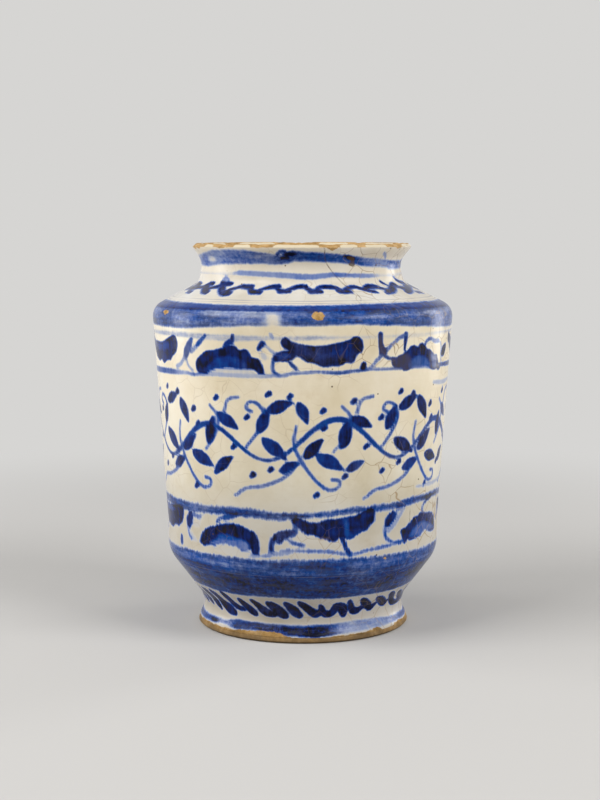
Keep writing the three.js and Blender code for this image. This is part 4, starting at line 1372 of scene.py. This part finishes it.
def plainGlaze():
    # thin tin glaze over the thrown inside: cream, ringed, browned low down where the drug stood
    material, tree, shader, space = startMaterial("plainTinGlaze")
    ground = addNode(tree, "ShaderNodeValToRGB", {}, {"Fac": noiseAt(tree, space, 30, 6, 0.62)})
    setRamp(ground, glazeLook["insideCreams"])
    split = addNode(tree, "ShaderNodeSeparateXYZ", {}, {0: space})
    ragged = addNode(tree, "ShaderNodeMath", {"operation": "MULTIPLY_ADD"}, {
        0: noiseAt(tree, space, 45, 5, 0.65), 1: 70 * mm, 2: split.outputs[2]})
    residue = addNode(tree, "ShaderNodeMapRange", {"interpolation_type": "SMOOTHSTEP"}, {
        "Value": ragged.outputs[0], "From Min": 45 * mm, "From Max": 120 * mm,
        "To Min": 0.55, "To Max": 0.0})
    craze = addNode(tree, "ShaderNodeMath", {"operation": "MULTIPLY"}, {
        0: crazeLines(tree, space, glazeLook["insideCrazeCell"], glazeLook["insideCrazeWidth"]), 1: 0.5})
    colour = ground.outputs[0]
    for share, name in ((residue, "residue"), (craze, "insideCrazing")):
        colour = addNode(tree, "ShaderNodeMix", {"data_type": "RGBA"}, {
            0: share.outputs[0], 6: colour, 7: hexColour(glazeLook[name])}).outputs[2]
    tree.links.new(colour, shader.inputs["Base Color"])
    dull = patches(tree, space, (70, 5, 0.65), (0.35, 0.7), glazeLook["insideGloss"], "LINEAR")
    tree.links.new(dull, shader.inputs["Roughness"])
    shader.inputs["IOR"].default_value = 1.55
    rings = noiseAt(tree, space, 1, 2, 0.5, (8, 8, 210))
    relief = addNode(tree, "ShaderNodeMath", {"operation": "MULTIPLY_ADD"}, {
        0: noiseAt(tree, space, 200, 3, 0.5), 1: 0.4, 2: rings})
    bump = addNode(tree, "ShaderNodeBump", {}, {
        "Height": relief.outputs[0], "Strength": 0.8, "Distance": 0.5 * mm})
    tree.links.new(bump.outputs[0], shader.inputs["Normal"])
    return material


# The three pieces

unwrapping = {
    "layer": "OFBake",        # the UV layer's name; the name that the export looks for
    # start and length, as shares of the picture
    "round": (0.002, 0.996),
    "face": (0.08, 0.915),
    "back": (0.005, 0.06),
}
halfColumns = jar["columns"] // 2
outerLine = roundedLine(outerCorners, jar["rowStep"])
liningLine = roundedLine(liningCorners, jar["liningStep"])[::-1]
# where glaze and clay meet out of sight, there are points only in the fillets
outerJoint = filletLine(outerCorners, 4)
liningJoint = filletLine(liningCorners, 6)[::-1]


def unwrapGlaze(mesh, section, faceRows, turns, rows):
    # the face as one strip round the jar, and the hidden back as a narrow strip below it
    lengths = lengthsAlong(section)
    faceEnd, sectionEnd = lengths[faceRows - 1], lengths[-1]
    corners = np.empty(len(mesh.loops), dtype=int)
    mesh.loops.foreach_get("vertex_index", corners)
    sizes = np.empty(len(mesh.polygons), dtype=int)
    mesh.polygons.foreach_get("loop_total", sizes)
    first = np.concatenate([[0], np.cumsum(sizes)[:-1]])
    owner = np.repeat(np.arange(len(sizes)), sizes)
    # polygons across the seam at the back carry on past the strip's end
    across = (turns[corners] + 180) / 360
    wraps = (np.maximum.reduceat(across, first) - np.minimum.reduceat(across, first) > 0.5)[owner]
    across = np.where(wraps & (across < 0.5), across + 1, across)
    # and so do the ones that close the section
    level = rows[corners].astype(float)
    lastRow = len(section) - 1
    closing = (np.maximum.reduceat(level, first)[owner] > lastRow - 1.5) & (level < 0.5)
    level = np.where(closing, lastRow, level)
    along = np.interp(level, np.arange(len(lengths)), lengths)
    isFace = np.maximum.reduceat(level, first)[owner] <= faceRows - 1
    roundStart, roundLength = unwrapping["round"]
    faceStart, faceLength = unwrapping["face"]
    backStart, backLength = unwrapping["back"]
    up = np.where(isFace, faceStart + faceLength * along / faceEnd,
                  backStart + backLength * (along - faceEnd) / (sectionEnd - faceEnd))
    layout = mesh.uv_layers.new(name=unwrapping["layer"])
    flat = np.column_stack([roundStart + across * roundLength, up])
    layout.data.foreach_set("uv", flat.astype(np.float32).ravel())


outerSection, faceRows = glazeSection(outerLine, outerJoint, jar["outerGlaze"])
outerGlaze = spinSection("outer_glaze_painted", outerSection, jar["columns"])
spots = places(outerGlaze)
rows = nearestRows(spots, outerSection[:-1])
turns = np.degrees(np.arctan2(spots[:, 0], -spots[:, 1]))
radii = np.hypot(spots[:, 0], spots[:, 1])
coats = paintJar(turns, spots[:, 2], radii)
for coatName, coat in coats.items():
    depth = np.clip(coat.depth, paint["unpainted"], -paint["unpainted"])
    keepAttribute(outerGlaze, coatName + "Depth", depth)
    if coatName in glazeLook["coats"]:
        keepAttribute(outerGlaze, coatName + "Tone", coat.tone)
print("jar painted")

# lost glaze is sunk almost to the clay, on the face but not at its ends
normals = lineNormals(outerLine)[np.clip(rows, 0, faceRows - 1)]
loss = np.clip(coats["bare"].depth / 0.8 + 0.5, 0, 1)
sunk = np.where((rows > 0) & (rows < faceRows - 1), loss * -jar["lossDepth"], 0)
outwards = np.column_stack([
    spots[:, 0] / radii * normals[:, 0], spots[:, 1] / radii * normals[:, 0], normals[:, 1]])
setPlaces(outerGlaze, wobble(spots + outwards * sunk[:, None]))
unwrapGlaze(outerGlaze.data, outerSection, faceRows, turns, rows)
outerGlaze.data.materials.append(paintedGlaze())
smoothShade(outerGlaze)
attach(outerGlaze, "root")
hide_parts("outer_glaze")
print("outer glaze ready")

liningSection = glazeSection(liningLine, liningJoint, jar["innerGlaze"])[0]
innerGlaze = spinSection("inner_glaze_lining", liningSection, halfColumns)
setPlaces(innerGlaze, wobble(places(innerGlaze)))
innerGlaze.data.materials.append(plainGlaze())
smoothShade(innerGlaze)
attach(innerGlaze, "root")
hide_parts("inner_glaze")
print("inner glaze ready")

footLine = roundedLine([*jar["underside"], jar["glazeLine"]], jar["footStep"])
lipRadius, lipHeight = jar["lip"][:2]
lipCorners = [jar["lip"], (lipRadius - jar["lipEase"], jar["rim"], jar["lipFillet"]),
              (lipInside[0] + jar["lipEase"], jar["rim"], jar["lipFillet"]), lipInside]
lipLine = roundedLine(lipCorners, jar["lipStep"])
claySection = np.vstack([footLine[:-1], outerJoint[:-1], lipLine[:-1], liningJoint])
clayBody = spinSection("earthenware_body_turned", claySection, halfColumns)
claySpots = places(clayBody)
clayTurns = np.degrees(np.arctan2(claySpots[:, 0], -claySpots[:, 1]))
clayHeights = claySpots[:, 2].copy()
# how deep in a stretch of lost glaze each place on the lip is, in mm round the lip
lost = np.full(len(claySpots), paint["unpainted"])
for start, end, _ in lipLosses:
    off = (clayTurns - (start + end) / 2 + 180) % 360 - 180
    lost = np.maximum(lost, ((end - start) / 2 - np.abs(off)) * 0.9)
# scraps of glaze are left between them, fewer on the flat of the lip
scraps = np.clip(-lost, -2.4, 2.5) - np.clip(clayHeights - (jar["rim"] - 0.5), 0, 1) * 6
remains = np.where(clayHeights > lipHeight - 0.05, scraps, paint["unpainted"])
keepAttribute(clayBody, "remainsDepth", remains)
# knocks along the lip, where the glaze is lost
knock = np.clip(lost / 4, 0, 1) * (0.5 + 0.5 * np.sin(clayTurns * 0.9) * np.sin(clayTurns * 0.37 + 1))
claySpots[:, 2] -= np.where(clayHeights > lipHeight + 0.3, jar["lipKnock"] * knock, 0)
setPlaces(clayBody, wobble(claySpots))
clayBody.data.materials.append(bareEarthenware())
smoothShade(clayBody)
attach(clayBody, "root")
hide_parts("earthenware_body")
print("clay body ready")
